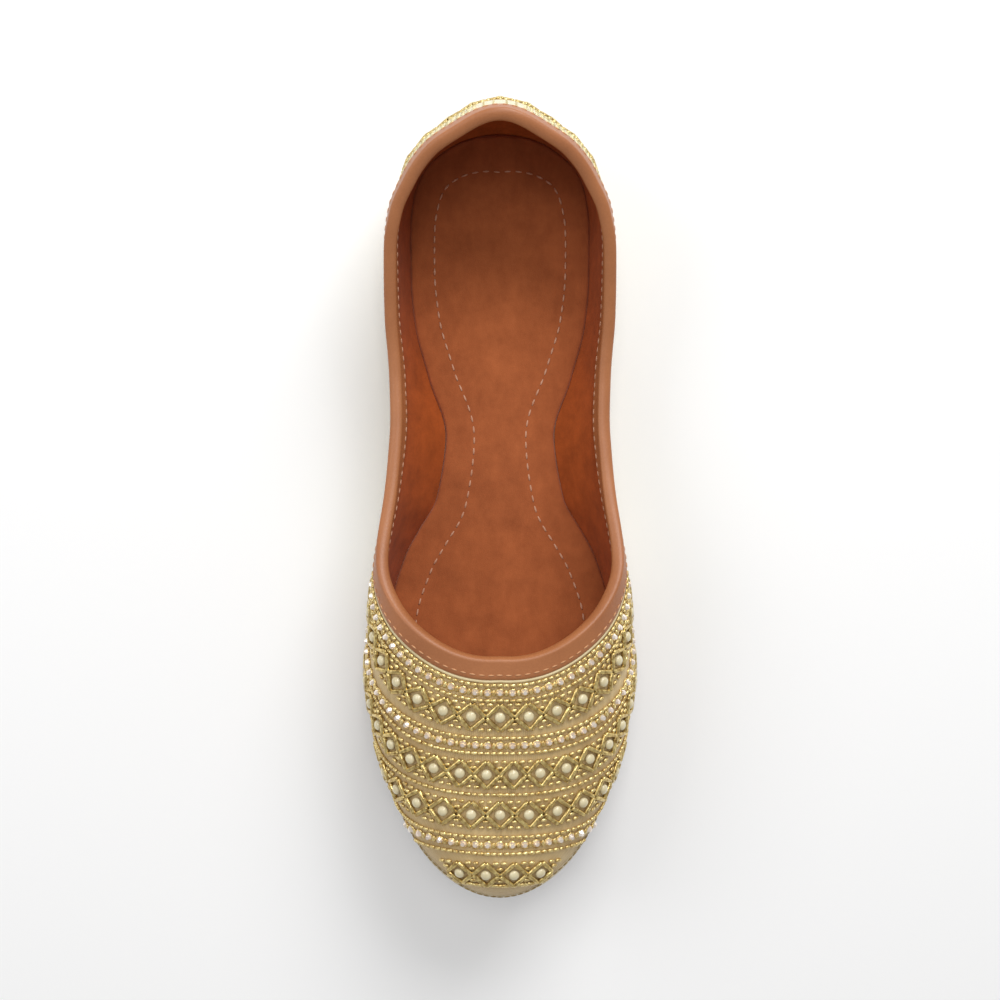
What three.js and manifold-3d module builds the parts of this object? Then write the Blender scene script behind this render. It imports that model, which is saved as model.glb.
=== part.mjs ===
// A mojari, the flat slip-on shoe of South Asian dress, in millimetres, toe along +X and standing on z = 0.
// It is made on a straight last, the same for either foot, so each form is worked out for one side and mirrored.
// One function gives the last's skin. The upper, its collar binding, the toe rand and the insole are all
// cut from that skin moved in or out, and the sole pieces follow its foot line.
import * as THREE from "three";
import Module from "manifold-3d";

const wasm = await Module();
wasm.setup();

// Sizes of the whole shoe
const LENGTH = 252;
const BALL_WIDTH = 85;
const HEEL_WIDTH = 70;
const INSTEP_HEIGHT = 56.5; // floor to the throat of the collar
const HEEL_HEIGHT = 62; // floor to the collar at the back
const SIDE_HEIGHT = 31.2; // floor to the lowest point of the collar
const TOE_SPRING = 30; // floor to the underside of the toe tip

// Sizes of the last's ends
const HEEL_TUCK = 5; // how far the foot line starts ahead of the heel's swell
const HEEL_LEAN = 17; // how far the back of the heel leans forward by the top of the last
const LEAN_POWER = 1.6; // how late in its climb the back of the heel starts to lean
const TOE_TUCK = 1.5; // how far the upper's toe stands back from the tip of the sole
const TOE_ROUND = 15; // how far the toe rounds back from its front to its top
const CROWN_SQUARENESS = 2.3; // 2 is an ellipse, more is fuller at the shoulders

// Sizes of the pieces
const WALL = 1.8; // fabric, stiffener and lining of the upper
const BINDING_WIDTH = 6;
const BINDING_LEATHER = 0.8;
const RAND_HEIGHT = 13.6; // at its tallest, round the sides of the toe
const RAND_LEATHER = 0.8;
const SOLE_THICKNESS = 3;
const SOLE_MARGIN = 1; // how far the sole stands out round the upper's foot
const SOLE_CHAMFER = 0.5;
const ARCH_RISE = 6; // of the board under the waist
const HEEL_LIFT = 2.4; // the rubber pad under the heel, and the sole's rim round it
const RIM_WIDTH = 4;
const RIM_RELIEF = 0.3; // how far the rim stays above the floor
const PAD_INSET = 0.6; // where the pad shows, ahead of the rim
const TREAD_THICKNESS = 1.6;
const TREAD_INSET = 0.8;
const RIB_PITCH = 2.4;
const RIB_DEPTH = 0.7;
const INSOLE_THICKNESS = 2;
const INSOLE_CHAMFER = 0.6;
const GAP = 0.3; // between pieces that meet

// Where things stand along the shoe, as shares of its length
const HEEL_WIDTH_ENDS = 0.3;
const BALL_WIDTH_STARTS = 0.65;
const COLLAR_LOW = 0.357;
const THROAT_TURNS = [0.56, 0.68]; // where the collar's edge turns across the foot
const RIM_ENDS = 0.215;
const PAD_ENDS = 0.298;
const TREAD_STARTS = 0.553;
const TREAD_ENDS = 0.985;
const RAND_STARTS = 0.615;

// Plan of the last. foot and full are the half widths at the foot line and at the swell,
// as shares of half the heel width at the back and of half the ball width at the front.
const PLAN = [
  { at: 0, foot: 0, full: 0 },
  { at: 0.0245, foot: 0.55, full: 0.445 },
  { at: 0.0575, foot: 0.77, full: 0.74 },
  { at: 0.0955, foot: 0.86, full: 0.895 },
  { at: 0.137, foot: 0.89, full: 0.975 },
  { at: 0.206, foot: 0.885, full: 1 },
  { at: 0.273, foot: 0.84, full: 1.01 },
  { at: 0.3455, foot: 0.7, full: 0.98 },
  { at: 0.4218, foot: 0.52, full: 0.93 },
  { at: 0.5, foot: 0.57, full: 0.9 },
  { at: 0.54, foot: 0.69, full: 0.91 },
  { at: 0.578, foot: 0.795, full: 0.925 },
  { at: 0.6545, foot: 0.9, full: 0.965 },
  { at: 0.727, foot: 0.925, full: 0.998 },
  { at: 0.794, foot: 0.875, full: 0.945 },
  { at: 0.854, foot: 0.775, full: 0.84 },
  { at: 0.9045, foot: 0.645, full: 0.705 },
  { at: 0.9455, foot: 0.495, full: 0.55 },
  { at: 0.9755, foot: 0.335, full: 0.375 },
  { at: 1, foot: 0, full: 0 },
];

// Side view of the sole and the last. The underside of the sole board is the sum of its shares of
// HEEL_LIFT, TREAD_THICKNESS, ARCH_RISE and TOE_SPRING. swell is the height of the last's widest line
// and crown the height of its spine, both above the sole board, as shares of INSTEP_HEIGHT.
const SIDE = [
  { at: 0, lift: 1, tread: 0, arch: 0, spring: 0, swell: 0.27, crown: 1.245 },
  { at: 0.1, lift: 1, tread: 0, arch: 0, spring: 0, swell: 0.3, crown: 1.28 },
  { at: 0.15, lift: 1, tread: 0, arch: 0, spring: 0, swell: 0.45, crown: 1.295 },
  { at: 0.2, lift: 1, tread: 0, arch: 0.13, spring: 0, swell: 0.6, crown: 1.3 },
  { at: 0.25, lift: 1, tread: 0, arch: 0.4, spring: 0, swell: 0.58, crown: 1.28 },
  { at: 0.3, lift: 0.9, tread: 0, arch: 0.68, spring: 0, swell: 0.53, crown: 1.23 },
  { at: 0.35, lift: 0.6, tread: 0, arch: 0.82, spring: 0, swell: 0.51, crown: 1.17 },
  { at: 0.42, lift: 0.2, tread: 0.2, arch: 0.75, spring: 0, swell: 0.52, crown: 1.115 },
  { at: 0.5, lift: 0, tread: 0.8, arch: 0.28, spring: 0, swell: 0.56, crown: 1.08 },
  { at: 0.55, lift: 0, tread: 1, arch: 0, spring: 0, swell: 0.585, crown: 1.06 },
  { at: 0.58, lift: 0, tread: 1, arch: 0, spring: 0, swell: 0.57, crown: 1.04 },
  { at: 0.62, lift: 0, tread: 1, arch: 0, spring: 0, swell: 0.49, crown: 1.004 },
  { at: 0.66, lift: 0, tread: 1, arch: 0, spring: 0.045, swell: 0.38, crown: 0.95 },
  { at: 0.7, lift: 0, tread: 1, arch: 0, spring: 0.12, swell: 0.286, crown: 0.871 },
  { at: 0.75, lift: 0, tread: 1, arch: 0, spring: 0.205, swell: 0.226, crown: 0.8 },
  { at: 0.8, lift: 0, tread: 1, arch: 0, spring: 0.34, swell: 0.2, crown: 0.703 },
  { at: 0.85, lift: 0, tread: 1, arch: 0, spring: 0.505, swell: 0.174, crown: 0.59 },
  { at: 0.9, lift: 0, tread: 1, arch: 0, spring: 0.69, swell: 0.15, crown: 0.478 },
  { at: 0.95, lift: 0, tread: 1, arch: 0, spring: 0.865, swell: 0.12, crown: 0.366 },
  { at: 1, lift: 0, tread: 1, arch: 0, spring: 1, swell: 0.06, crown: 0.287 },
];

// Side view of the collar. climb is the share of the way up from its low point, to HEEL_HEIGHT behind
// the low point and to INSTEP_HEIGHT ahead of it.
const COLLAR = [
  { at: 0, climb: 1.24 },
  { at: 0.0476, climb: 1 },
  { at: 0.079, climb: 0.84 },
  { at: 0.119, climb: 0.66 },
  { at: 0.159, climb: 0.507 },
  { at: 0.202, climb: 0.34 },
  { at: 0.266, climb: 0.137 },
  { at: 0.317, climb: 0.033 },
  { at: COLLAR_LOW, climb: 0 },
  { at: 0.397, climb: 0.01 },
  { at: 0.4504, climb: 0.079 },
  { at: 0.512, climb: 0.242 },
  { at: 0.573, climb: 0.475 },
  { at: 0.61, climb: 0.64 },
  { at: 0.647, climb: 0.838 },
  { at: 0.672, climb: 0.96 },
  { at: 0.69, climb: 1.004 },
  { at: 0.7024, climb: 1.045 },
  { at: 0.76, climb: 1.5 },
];

// Side view of the rand's upper edge, above the sole board, as a share of RAND_HEIGHT.
const RAND = [
  { at: 0.61, rise: 0.24 },
  { at: 0.635, rise: 0.29 },
  { at: 0.7, rise: 0.34 },
  { at: 0.757, rise: 0.385 },
  { at: 0.805, rise: 0.41 },
  { at: 0.845, rise: 0.56 },
  { at: 0.88, rise: 0.77 },
  { at: 0.93, rise: 0.87 },
  { at: 0.96, rise: 0.84 },
  { at: 0.985, rise: 0.68 },
  { at: 1.02, rise: 0.6 },
];

// How finely the forms are divided
const STATIONS = 38; // from heel to toe along one side
const LOWER_ROWS = 3; // from the foot line to the swell
const CROWN_ROWS = 7; // from the swell to the spine
const PROFILE_STEPS = 50; // along a side-view cut
const SWELL_ROW = LOWER_ROWS / (LOWER_ROWS + CROWN_ROWS);
const SKIRT = 3; // how far each form runs on below the foot line, to be trimmed
const END_POWER = 4; // how quickly the shaping of the ends fades along the shoe
const REACH = 200; // how tall and wide the trimming pieces stand
const OVERRUN = 12; // how far they run on past the shoe's ends

// Curve through a table's column that never overshoots it, straight on past its ends.
function curveThrough(xs, ys) {
  const slopes = xs.slice(1).map((x, i) => (ys[i + 1] - ys[i]) / (x - xs[i]));
  const tangents = xs.map((_, i) => {
    if (i === 0) return slopes[0];
    if (i === xs.length - 1) return slopes[i - 1];
    const before = slopes[i - 1];
    const after = slopes[i];
    return before * after <= 0 ? 0 : (2 * before * after) / (before + after);
  });
  return (x) => {
    const last = xs.length - 1;
    if (x <= xs[0]) return ys[0] + tangents[0] * (x - xs[0]);
    if (x >= xs[last]) return ys[last] + tangents[last] * (x - xs[last]);
    let i = 0;
    while (x > xs[i + 1]) i++;
    const span = xs[i + 1] - xs[i];
    const t = (x - xs[i]) / span;
    return (
      ys[i] * (1 + 2 * t) * (1 - t) ** 2 +
      tangents[i] * span * t * (1 - t) ** 2 +
      ys[i + 1] * t * t * (3 - 2 * t) +
      tangents[i + 1] * span * t * t * (t - 1)
    );
  };
}

const column = (table, name) => table.map((row) => row[name]);
const smooth = THREE.MathUtils.smoothstep;
const lerp = THREE.MathUtils.lerp;

// A turn runs evenly round the plan from heel (0) to toe (1), so that the ends come out round.
const turnOf = (at) => Math.acos(1 - 2 * at) / Math.PI;
const atOf = (turn) => (1 - Math.cos(Math.PI * turn)) / 2;

const planTurns = column(PLAN, "at").map(turnOf);
const footShare = curveThrough(planTurns, column(PLAN, "foot"));
const fullShare = curveThrough(planTurns, column(PLAN, "full"));
const sideCurve = (name) => curveThrough(column(SIDE, "at"), column(SIDE, name));
const liftShare = sideCurve("lift");
const treadShare = sideCurve("tread");
const archShare = sideCurve("arch");
const springShare = sideCurve("spring");
const swellShare = sideCurve("swell");
const crownShare = sideCurve("crown");
const collarClimb = curveThrough(column(COLLAR, "at"), column(COLLAR, "climb"));
const randRise = curveThrough(column(RAND, "at"), column(RAND, "rise"));

const widthAt = (at) => lerp(HEEL_WIDTH, BALL_WIDTH, smooth(at, HEEL_WIDTH_ENDS, BALL_WIDTH_STARTS)) / 2;

// Height of the sole board's underside and top at a distance x from the heel.
function boardUnder(x) {
  const at = x / LENGTH;
  const under =
    liftShare(at) * HEEL_LIFT +
    treadShare(at) * TREAD_THICKNESS +
    archShare(at) * ARCH_RISE +
    springShare(at) * TOE_SPRING;
  return Math.max(under, Math.min(HEEL_LIFT, TREAD_THICKNESS));
}
const boardTop = (x) => boardUnder(x) + SOLE_THICKNESS;

// Height of the heel pad's underside: on the floor at the back, and up with the board ahead of it.
const padUnder = (x) => Math.max(boardUnder(x) - HEEL_LIFT, 0);

// Height of the collar's edge.
function collarHeight(x) {
  const at = x / LENGTH;
  const top = at < COLLAR_LOW ? HEEL_HEIGHT : INSTEP_HEIGHT;
  return SIDE_HEIGHT + (top - SIDE_HEIGHT) * collarClimb(at);
}

// Height of the binding's lower edge: below the collar's edge at the sides, and ahead of it at the throat.
function bindingFoot(x) {
  const ahead = smooth(x / LENGTH, ...THROAT_TURNS);
  return collarHeight(x - BINDING_WIDTH * ahead) - BINDING_WIDTH * (1 - ahead);
}

const randTop = (x) => boardTop(x) + RAND_HEIGHT * randRise(x / LENGTH);

// A point of the last's skin: turn runs from heel to toe, row from the foot line (0) to the spine (1).
// A row below 0 lies on the skirt.
function lastPoint(turn, row) {
  const at = atOf(turn);
  const foot = footShare(turn) * widthAt(at);
  const full = fullShare(turn) * widthAt(at);
  const swell = swellShare(at) * INSTEP_HEIGHT;
  const crown = crownShare(at) * INSTEP_HEIGHT;
  const board = boardTop(LENGTH * at);
  let y, z, heelShift, toeShift;
  if (row <= SWELL_ROW) {
    const up = row < 0 ? -SKIRT / swell : row / SWELL_ROW;
    const out = up * (2 - up);
    y = foot + (full - foot) * out;
    z = board + swell * up;
    heelShift = HEEL_TUCK * (1 - out);
    toeShift = -TOE_TUCK;
  } else {
    const angle = (((row - SWELL_ROW) / (1 - SWELL_ROW)) * Math.PI) / 2;
    const power = 2 / CROWN_SQUARENESS;
    y = row === 1 ? 0 : full * Math.cos(angle) ** power;
    z = board + swell + (crown - swell) * Math.sin(angle) ** power;
    heelShift = HEEL_LEAN * Math.sin(angle) ** LEAN_POWER;
    toeShift = -TOE_TUCK - TOE_ROUND * (1 - Math.cos(angle));
  }
  const x = LENGTH * at + heelShift * (1 - at) ** END_POWER + toeShift * at ** END_POWER;
  return new THREE.Vector3(x, Math.max(y, 0), z);
}

// A closed solid from rings of points that run heel, right side, toe, left side. Each ring joins the next,
// and the first and last are closed by rungs from one side to the other, so they may curve along the shoe.
function solidFromRings(rings) {
  const found = new Map();
  const vertices = [];
  const triangles = [];
  const indexOf = (p) => {
    const key = p.toArray().map((c) => Math.round(c * 1e4)).join();
    if (!found.has(key)) {
      found.set(key, vertices.length / 3);
      vertices.push(p.x, p.y, p.z);
    }
    return found.get(key);
  };
  const rows = rings.map((ring) => ring.map(indexOf));
  const count = rows[0].length;
  const face = (a, b, c) => {
    if (a !== b && b !== c && a !== c) triangles.push(a, b, c);
  };
  const quad = (a, b, c, d) => {
    face(a, b, c);
    face(a, c, d);
  };
  for (let r = 0; r + 1 < rows.length; r++)
    for (let i = 0; i < count; i++) {
      const j = (i + 1) % count;
      quad(rows[r][i], rows[r][j], rows[r + 1][j], rows[r + 1][i]);
    }
  const rungs = (row, up) => {
    for (let i = 0; i < count / 2; i++) {
      const left = (count - i) % count;
      const nextLeft = count - i - 1;
      if (up) quad(row[i], row[i + 1], row[nextLeft], row[left]);
      else quad(row[i], row[left], row[nextLeft], row[i + 1]);
    }
  };
  rungs(rows[0], false);
  rungs(rows[rows.length - 1], true);
  return new wasm.Manifold(
    new wasm.Mesh({
      numProp: 3,
      vertProperties: new Float32Array(vertices),
      triVerts: new Uint32Array(triangles),
    }),
  );
}

// A half outline (heel to toe, y >= 0) as a whole ring that starts at the heel and goes down the right side.
function ringOf(half) {
  const right = half.map((p) => new THREE.Vector3(p.x, -p.y, p.z));
  const left = half.slice(1, -1).reverse();
  return [...right, ...left];
}

// The last's skin on one side as rows of points, with the outward direction at each.
const rowPlaces = [-1];
for (let r = 0; r <= LOWER_ROWS; r++) rowPlaces.push((SWELL_ROW * r) / LOWER_ROWS);
for (let r = 1; r <= CROWN_ROWS; r++) rowPlaces.push(SWELL_ROW + ((1 - SWELL_ROW) * r) / CROWN_ROWS);

const skin = rowPlaces.map((row) =>
  Array.from({ length: STATIONS + 1 }, (_, i) => lastPoint(i / STATIONS, row)),
);

function outwardAt(r, i) {
  const mirrored = (p) => new THREE.Vector3(p.x, -p.y, p.z);
  const before = i > 0 ? skin[r][i - 1] : mirrored(skin[r][1]);
  const after = i < STATIONS ? skin[r][i + 1] : mirrored(skin[r][STATIONS - 1]);
  const below = r > 0 ? skin[r - 1][i] : skin[r][i];
  const above = r < skin.length - 1 ? skin[r + 1][i] : mirrored(skin[r - 1][i]);
  const along = after.clone().sub(before);
  const up = above.clone().sub(below);
  const outward = up.cross(along).normalize();
  if (i === 0 || i === STATIONS || r === skin.length - 1) outward.setY(0).normalize();
  return outward;
}
const outward = skin.map((row, r) => row.map((_, i) => outwardAt(r, i)));

// The last as a solid, with its skin moved out by a distance, or in by a negative one.
function lastForm(distance) {
  return solidFromRings(
    skin.map((row, r) => ringOf(row.map((p, i) => p.clone().addScaledVector(outward[r][i], distance)))),
  );
}

// Everything above or below a side-view line, between two distances from the heel.
function sideCut(height, from, to, far) {
  const shape = new THREE.Shape();
  shape.moveTo(from, far);
  for (let i = 0; i <= PROFILE_STEPS; i++) {
    const x = lerp(from, to, i / PROFILE_STEPS);
    shape.lineTo(x, height(x));
  }
  shape.lineTo(to, far);
  const geometry = new THREE.ExtrudeGeometry(shape, { depth: 2 * REACH, bevelEnabled: false });
  geometry.rotateX(Math.PI / 2).translate(0, REACH, 0);
  return solidOf(geometry);
}
const aboveCut = (height, from, to) => sideCut(height, from, to, REACH);
const belowCut = (height, from, to) => sideCut(height, from, to, -REACH);

// A closed three.js geometry as a solid.
function solidOf(geometry) {
  const position = geometry.index ? geometry.toNonIndexed().attributes.position : geometry.attributes.position;
  const found = new Map();
  const vertices = [];
  const triangles = [];
  for (let i = 0; i < position.count; i++) {
    const point = new THREE.Vector3().fromBufferAttribute(position, i);
    const key = point.toArray().map((c) => Math.round(c * 1e4)).join();
    if (!found.has(key)) {
      found.set(key, vertices.length / 3);
      vertices.push(point.x, point.y, point.z);
    }
    triangles.push(found.get(key));
  }
  return new wasm.Manifold(
    new wasm.Mesh({
      numProp: 3,
      vertProperties: new Float32Array(vertices),
      triVerts: new Uint32Array(triangles),
    }),
  );
}

// Half of the foot line's outline in plan, moved out by a distance, from heel to toe.
function footLine(distance) {
  const line = skin[1];
  return line.map((p, i) => {
    const before = i > 0 ? line[i - 1] : new THREE.Vector3(line[1].x, -line[1].y, 0);
    const after = i < STATIONS ? line[i + 1] : new THREE.Vector3(line[STATIONS - 1].x, -line[STATIONS - 1].y, 0);
    const side = new THREE.Vector2(before.y - after.y, after.x - before.x).normalize();
    const moved = new THREE.Vector2(p.x, p.y).addScaledVector(side, distance);
    const tip = i === 0 || i === STATIONS;
    return new THREE.Vector2(moved.x, tip ? 0 : Math.max(moved.y, 0));
  });
}

// A board with the foot line's outline moved out by a distance, between two side-view heights.
function footBoard(distance, under, top, lowerChamfer = 0, upperChamfer = 0) {
  const ring = (inset, height) =>
    ringOf(footLine(distance - inset).map((p) => new THREE.Vector3(p.x, p.y, height(p.x))));
  const rings = [ring(lowerChamfer, under)];
  if (lowerChamfer) rings.push(ring(0, (x) => under(x) + lowerChamfer));
  if (upperChamfer) rings.push(ring(0, (x) => top(x) - upperChamfer));
  rings.push(ring(upperChamfer, top));
  return solidFromRings(rings);
}

// The upper: the last's skin as a wall, open at the collar and under the foot.
function makeUpper() {
  const throatEnd = LENGTH * COLLAR[COLLAR.length - 1].at;
  return lastForm(0)
    .subtract(lastForm(-WALL))
    .subtract(aboveCut(collarHeight, -OVERRUN, throatEnd))
    .subtract(belowCut((x) => boardTop(x) + GAP, -OVERRUN, LENGTH + OVERRUN));
}

// The collar binding: a strip of leather folded over the collar's edge, inside and out.
function makeBinding() {
  const throatEnd = LENGTH * COLLAR[COLLAR.length - 1].at;
  const over = GAP + BINDING_LEATHER;
  const strip = lastForm(over)
    .subtract(lastForm(-WALL - over))
    .subtract(aboveCut((x) => collarHeight(x) + over, -OVERRUN, throatEnd))
    .subtract(belowCut(bindingFoot, -OVERRUN, throatEnd))
    .subtract(belowCut(() => REACH / 2, throatEnd - GAP, LENGTH + OVERRUN));
  const fold = lastForm(GAP)
    .subtract(lastForm(-WALL - GAP))
    .subtract(aboveCut((x) => collarHeight(x) + GAP, -OVERRUN, throatEnd));
  return strip.subtract(fold);
}

// The rand: a band of leather round the foot of the toe, over the upper.
function makeRand() {
  return lastForm(GAP + RAND_LEATHER)
    .subtract(lastForm(GAP))
    .subtract(aboveCut(randTop, LENGTH * RAND_STARTS, LENGTH + OVERRUN))
    .subtract(aboveCut(() => -REACH / 2, -OVERRUN, LENGTH * RAND_STARTS))
    .subtract(belowCut((x) => boardTop(x) + GAP, -OVERRUN, LENGTH + OVERRUN));
}

// The sole: a board with its arch and toe spring, and a rim that runs down round the heel pad.
function makeSole() {
  const board = footBoard(SOLE_MARGIN, boardUnder, boardTop, SOLE_CHAMFER, SOLE_CHAMFER);
  const aheadOfRim = aboveCut(() => -REACH / 2, LENGTH * RIM_ENDS, LENGTH + OVERRUN);
  const rimTop = (x) => boardUnder(x) + SOLE_THICKNESS / 2;
  const rim = footBoard(SOLE_MARGIN, (x) => padUnder(x) + RIM_RELIEF, rimTop, SOLE_CHAMFER)
    .subtract(footBoard(SOLE_MARGIN - RIM_WIDTH, () => -SKIRT, boardUnder))
    .subtract(aheadOfRim);
  return board.add(rim);
}

// The heel pad: rubber, inside the rim at the back and as wide as the sole ahead of it.
function makeHeelPad() {
  const top = (x) => boardUnder(x) - GAP;
  const inside = footBoard(SOLE_MARGIN - RIM_WIDTH - GAP, padUnder, top);
  const shown = footBoard(SOLE_MARGIN - PAD_INSET, padUnder, top);
  const aheadOfPad = aboveCut(() => -REACH / 2, LENGTH * PAD_ENDS, LENGTH + OVERRUN);
  const behindRimEnd = aboveCut(() => -REACH / 2, -OVERRUN, LENGTH * RIM_ENDS + GAP);
  return inside.add(shown.subtract(behindRimEnd)).subtract(aheadOfPad);
}

// The tread: thin rubber under the ball and toe, with ribs across it. Its ribs stand on the floor at the ball.
function makeTread() {
  const line = footLine(SOLE_MARGIN - TREAD_INSET);
  const halfAt = curveThrough(line.map((p) => p.x), line.map((p) => p.y));
  const ribs = Math.floor((LENGTH * (TREAD_ENDS - TREAD_STARTS)) / RIB_PITCH);
  const under = [];
  const top = [];
  const station = (x, height) => {
    under.push(new THREE.Vector3(x, halfAt(x), boardUnder(x) - height));
    top.push(new THREE.Vector3(x, halfAt(x), boardUnder(x) - GAP));
  };
  const root = TREAD_THICKNESS - RIB_DEPTH;
  for (let i = 0; i < ribs; i++) {
    const start = LENGTH * TREAD_STARTS + i * RIB_PITCH;
    station(start, root);
    station(start + RIB_PITCH * 0.15, TREAD_THICKNESS);
    station(start + RIB_PITCH * 0.6, TREAD_THICKNESS);
    station(start + RIB_PITCH * 0.75, root);
  }
  station(LENGTH * TREAD_STARTS + ribs * RIB_PITCH, root);
  const whole = (half) => [
    ...half.map((p) => new THREE.Vector3(p.x, -p.y, p.z)),
    ...half.slice().reverse(),
  ];
  return stripSolid(whole(under), whole(top));
}

// A strip that has blunt ends: two whole outlines, right side out and left side back, joined all round.
function stripSolid(under, top) {
  const half = under.length / 2;
  const points = [...under, ...top];
  const triangles = [];
  const quad = (a, b, c, d) => triangles.push(a, b, c, a, c, d);
  const topOf = (i) => i + under.length;
  for (let i = 0; i < under.length; i++) {
    const j = (i + 1) % under.length;
    quad(i, j, topOf(j), topOf(i));
  }
  for (let i = 0; i + 1 < half; i++) {
    const left = under.length - 1 - i;
    quad(i, left, left - 1, i + 1);
    quad(topOf(i), topOf(i + 1), topOf(left - 1), topOf(left));
  }
  return new wasm.Manifold(
    new wasm.Mesh({
      numProp: 3,
      vertProperties: new Float32Array(points.flatMap((p) => p.toArray())),
      triVerts: new Uint32Array(triangles),
    }),
  );
}

// The insole: a padded board that fills the foot inside the upper's wall.
function makeInsole() {
  const under = (x) => boardTop(x) + GAP;
  const top = (x) => under(x) + INSOLE_THICKNESS;
  return footBoard(0, under, top, 0, INSOLE_CHAMFER).intersect(lastForm(-WALL - GAP));
}

// The pieces as named meshes
const shoe = new THREE.Group();
const last = new THREE.Group();
shoe.add(last);

function addPiece(name, solid, color, roughness, metalness = 0) {
  const { vertProperties, triVerts } = solid.getMesh();
  const geometry = new THREE.BufferGeometry()
    .setAttribute("position", new THREE.BufferAttribute(new Float32Array(vertProperties), 3))
    .setIndex(new THREE.BufferAttribute(new Uint32Array(triVerts), 1));
  geometry.computeVertexNormals();
  const mesh = new THREE.Mesh(geometry, new THREE.MeshStandardMaterial({ color, roughness, metalness }));
  mesh.name = name;
  last.add(mesh);
}

addPiece("upper", makeUpper(), 0xd9c99c, 0.5, 0.2);
addPiece("collar_binding", makeBinding(), 0xb87f5a, 0.55);
addPiece("toe_rand", makeRand(), 0xb9b094, 0.4, 0.4);
addPiece("insole", makeInsole(), 0xa1572f, 0.95);
addPiece("sole", makeSole(), 0xe0b594, 0.6);
addPiece("heel_pad", makeHeelPad(), 0x8f8688, 0.8);
addPiece("tread", makeTread(), 0x8f8688, 0.8);

// The origin is the middle of the shoe's length, on the floor.
const box = new THREE.Box3().setFromObject(last);
last.position.x = -(box.min.x + box.max.x) / 2;

export default shoe;
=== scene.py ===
"""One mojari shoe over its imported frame: smooth skins, leather, beadwork, embroidery and a soft studio.

The shapes are worked out in millimetres from the heel's rearmost point, and go into the meshes in metres, at
their places in the frame.
"""

import logging
import math
from dataclasses import dataclass, field
from enum import Enum
from typing import Callable, Optional, Sequence

import bpy
import numpy as np
from mathutils import Matrix, Vector


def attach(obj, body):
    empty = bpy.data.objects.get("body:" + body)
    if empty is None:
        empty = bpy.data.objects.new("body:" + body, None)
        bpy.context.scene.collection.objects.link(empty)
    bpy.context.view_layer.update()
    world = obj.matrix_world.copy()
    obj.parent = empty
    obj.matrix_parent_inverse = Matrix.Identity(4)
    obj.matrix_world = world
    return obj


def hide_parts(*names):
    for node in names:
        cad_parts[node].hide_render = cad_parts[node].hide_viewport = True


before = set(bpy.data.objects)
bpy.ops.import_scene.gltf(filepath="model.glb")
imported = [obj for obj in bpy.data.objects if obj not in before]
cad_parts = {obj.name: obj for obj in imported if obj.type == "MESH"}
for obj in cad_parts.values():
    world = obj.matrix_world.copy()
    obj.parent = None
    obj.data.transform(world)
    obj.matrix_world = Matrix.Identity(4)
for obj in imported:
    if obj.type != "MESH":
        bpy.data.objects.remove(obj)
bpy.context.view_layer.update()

Array = np.ndarray
Rgb = tuple[int, int, int]
Level = Callable[[Array], Array]
log = logging.getLogger("mojari")

MM = 0.001
MIDDLE = 125.8  # the frame's origin, in mm from the heel's rearmost point
HALVINGS = 44  # steps of each search, which end far below a thousandth of a mm
NEAR = 0.3  # mm to each side over which the direction of a line is read

# Half widths as shares of the width: at, on the foot line, at the widest.
PLAN = (
    (0, 0, 0), (0.0245, 0.55, 0.445), (0.0575, 0.77, 0.74), (0.0955, 0.86, 0.895), (0.137, 0.89, 0.975),
    (0.206, 0.885, 1), (0.273, 0.84, 1.01), (0.3455, 0.7, 0.98), (0.4218, 0.52, 0.93), (0.5, 0.57, 0.9),
    (0.54, 0.69, 0.91), (0.578, 0.795, 0.925), (0.6545, 0.9, 0.965), (0.727, 0.925, 0.998),
    (0.794, 0.875, 0.945), (0.854, 0.775, 0.84), (0.9045, 0.645, 0.705), (0.9455, 0.495, 0.55),
    (0.9755, 0.335, 0.375), (1, 0, 0),
)
# The board's lift, tread, arch and spring, and the skin's widest and highest levels: at, then the six shares.
SIDE = (
    (0, 1, 0, 0, 0, 0.27, 1.245), (0.1, 1, 0, 0, 0, 0.3, 1.28), (0.15, 1, 0, 0, 0, 0.45, 1.295),
    (0.2, 1, 0, 0.13, 0, 0.6, 1.3), (0.25, 1, 0, 0.4, 0, 0.58, 1.28), (0.3, 0.9, 0, 0.68, 0, 0.53, 1.23),
    (0.35, 0.6, 0, 0.82, 0, 0.51, 1.17), (0.42, 0.2, 0.2, 0.75, 0, 0.52, 1.115),
    (0.5, 0, 0.8, 0.28, 0, 0.56, 1.08), (0.55, 0, 1, 0, 0, 0.585, 1.06), (0.58, 0, 1, 0, 0, 0.57, 1.04),
    (0.62, 0, 1, 0, 0, 0.49, 1.004), (0.66, 0, 1, 0, 0.045, 0.38, 0.95), (0.7, 0, 1, 0, 0.12, 0.286, 0.871),
    (0.75, 0, 1, 0, 0.205, 0.226, 0.8), (0.8, 0, 1, 0, 0.34, 0.2, 0.703), (0.85, 0, 1, 0, 0.505, 0.174, 0.59),
    (0.9, 0, 1, 0, 0.69, 0.15, 0.478), (0.95, 0, 1, 0, 0.865, 0.12, 0.366), (1, 0, 1, 0, 1, 0.06, 0.287),
)
# The collar's edge: at, then the share of its climb from the side to the heel or the throat.
COLLAR = (
    (0, 1.24), (0.0476, 1), (0.079, 0.84), (0.119, 0.66), (0.159, 0.507), (0.202, 0.34), (0.266, 0.137),
    (0.317, 0.033), (0.357, 0), (0.397, 0.01), (0.4504, 0.079), (0.512, 0.242), (0.573, 0.475), (0.61, 0.64),
    (0.647, 0.838), (0.672, 0.96), (0.69, 1.004), (0.7024, 1.045), (0.76, 1.5),
)
# How far inside the insole's edge its stitches run: turn, then mm.
STITCHES = ((0, 14.0), (0.16, 10.6), (0.28, 9.4), (0.42, 10.4), (0.52, 11.6), (0.62, 10.4), (0.75, 10.0))
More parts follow.
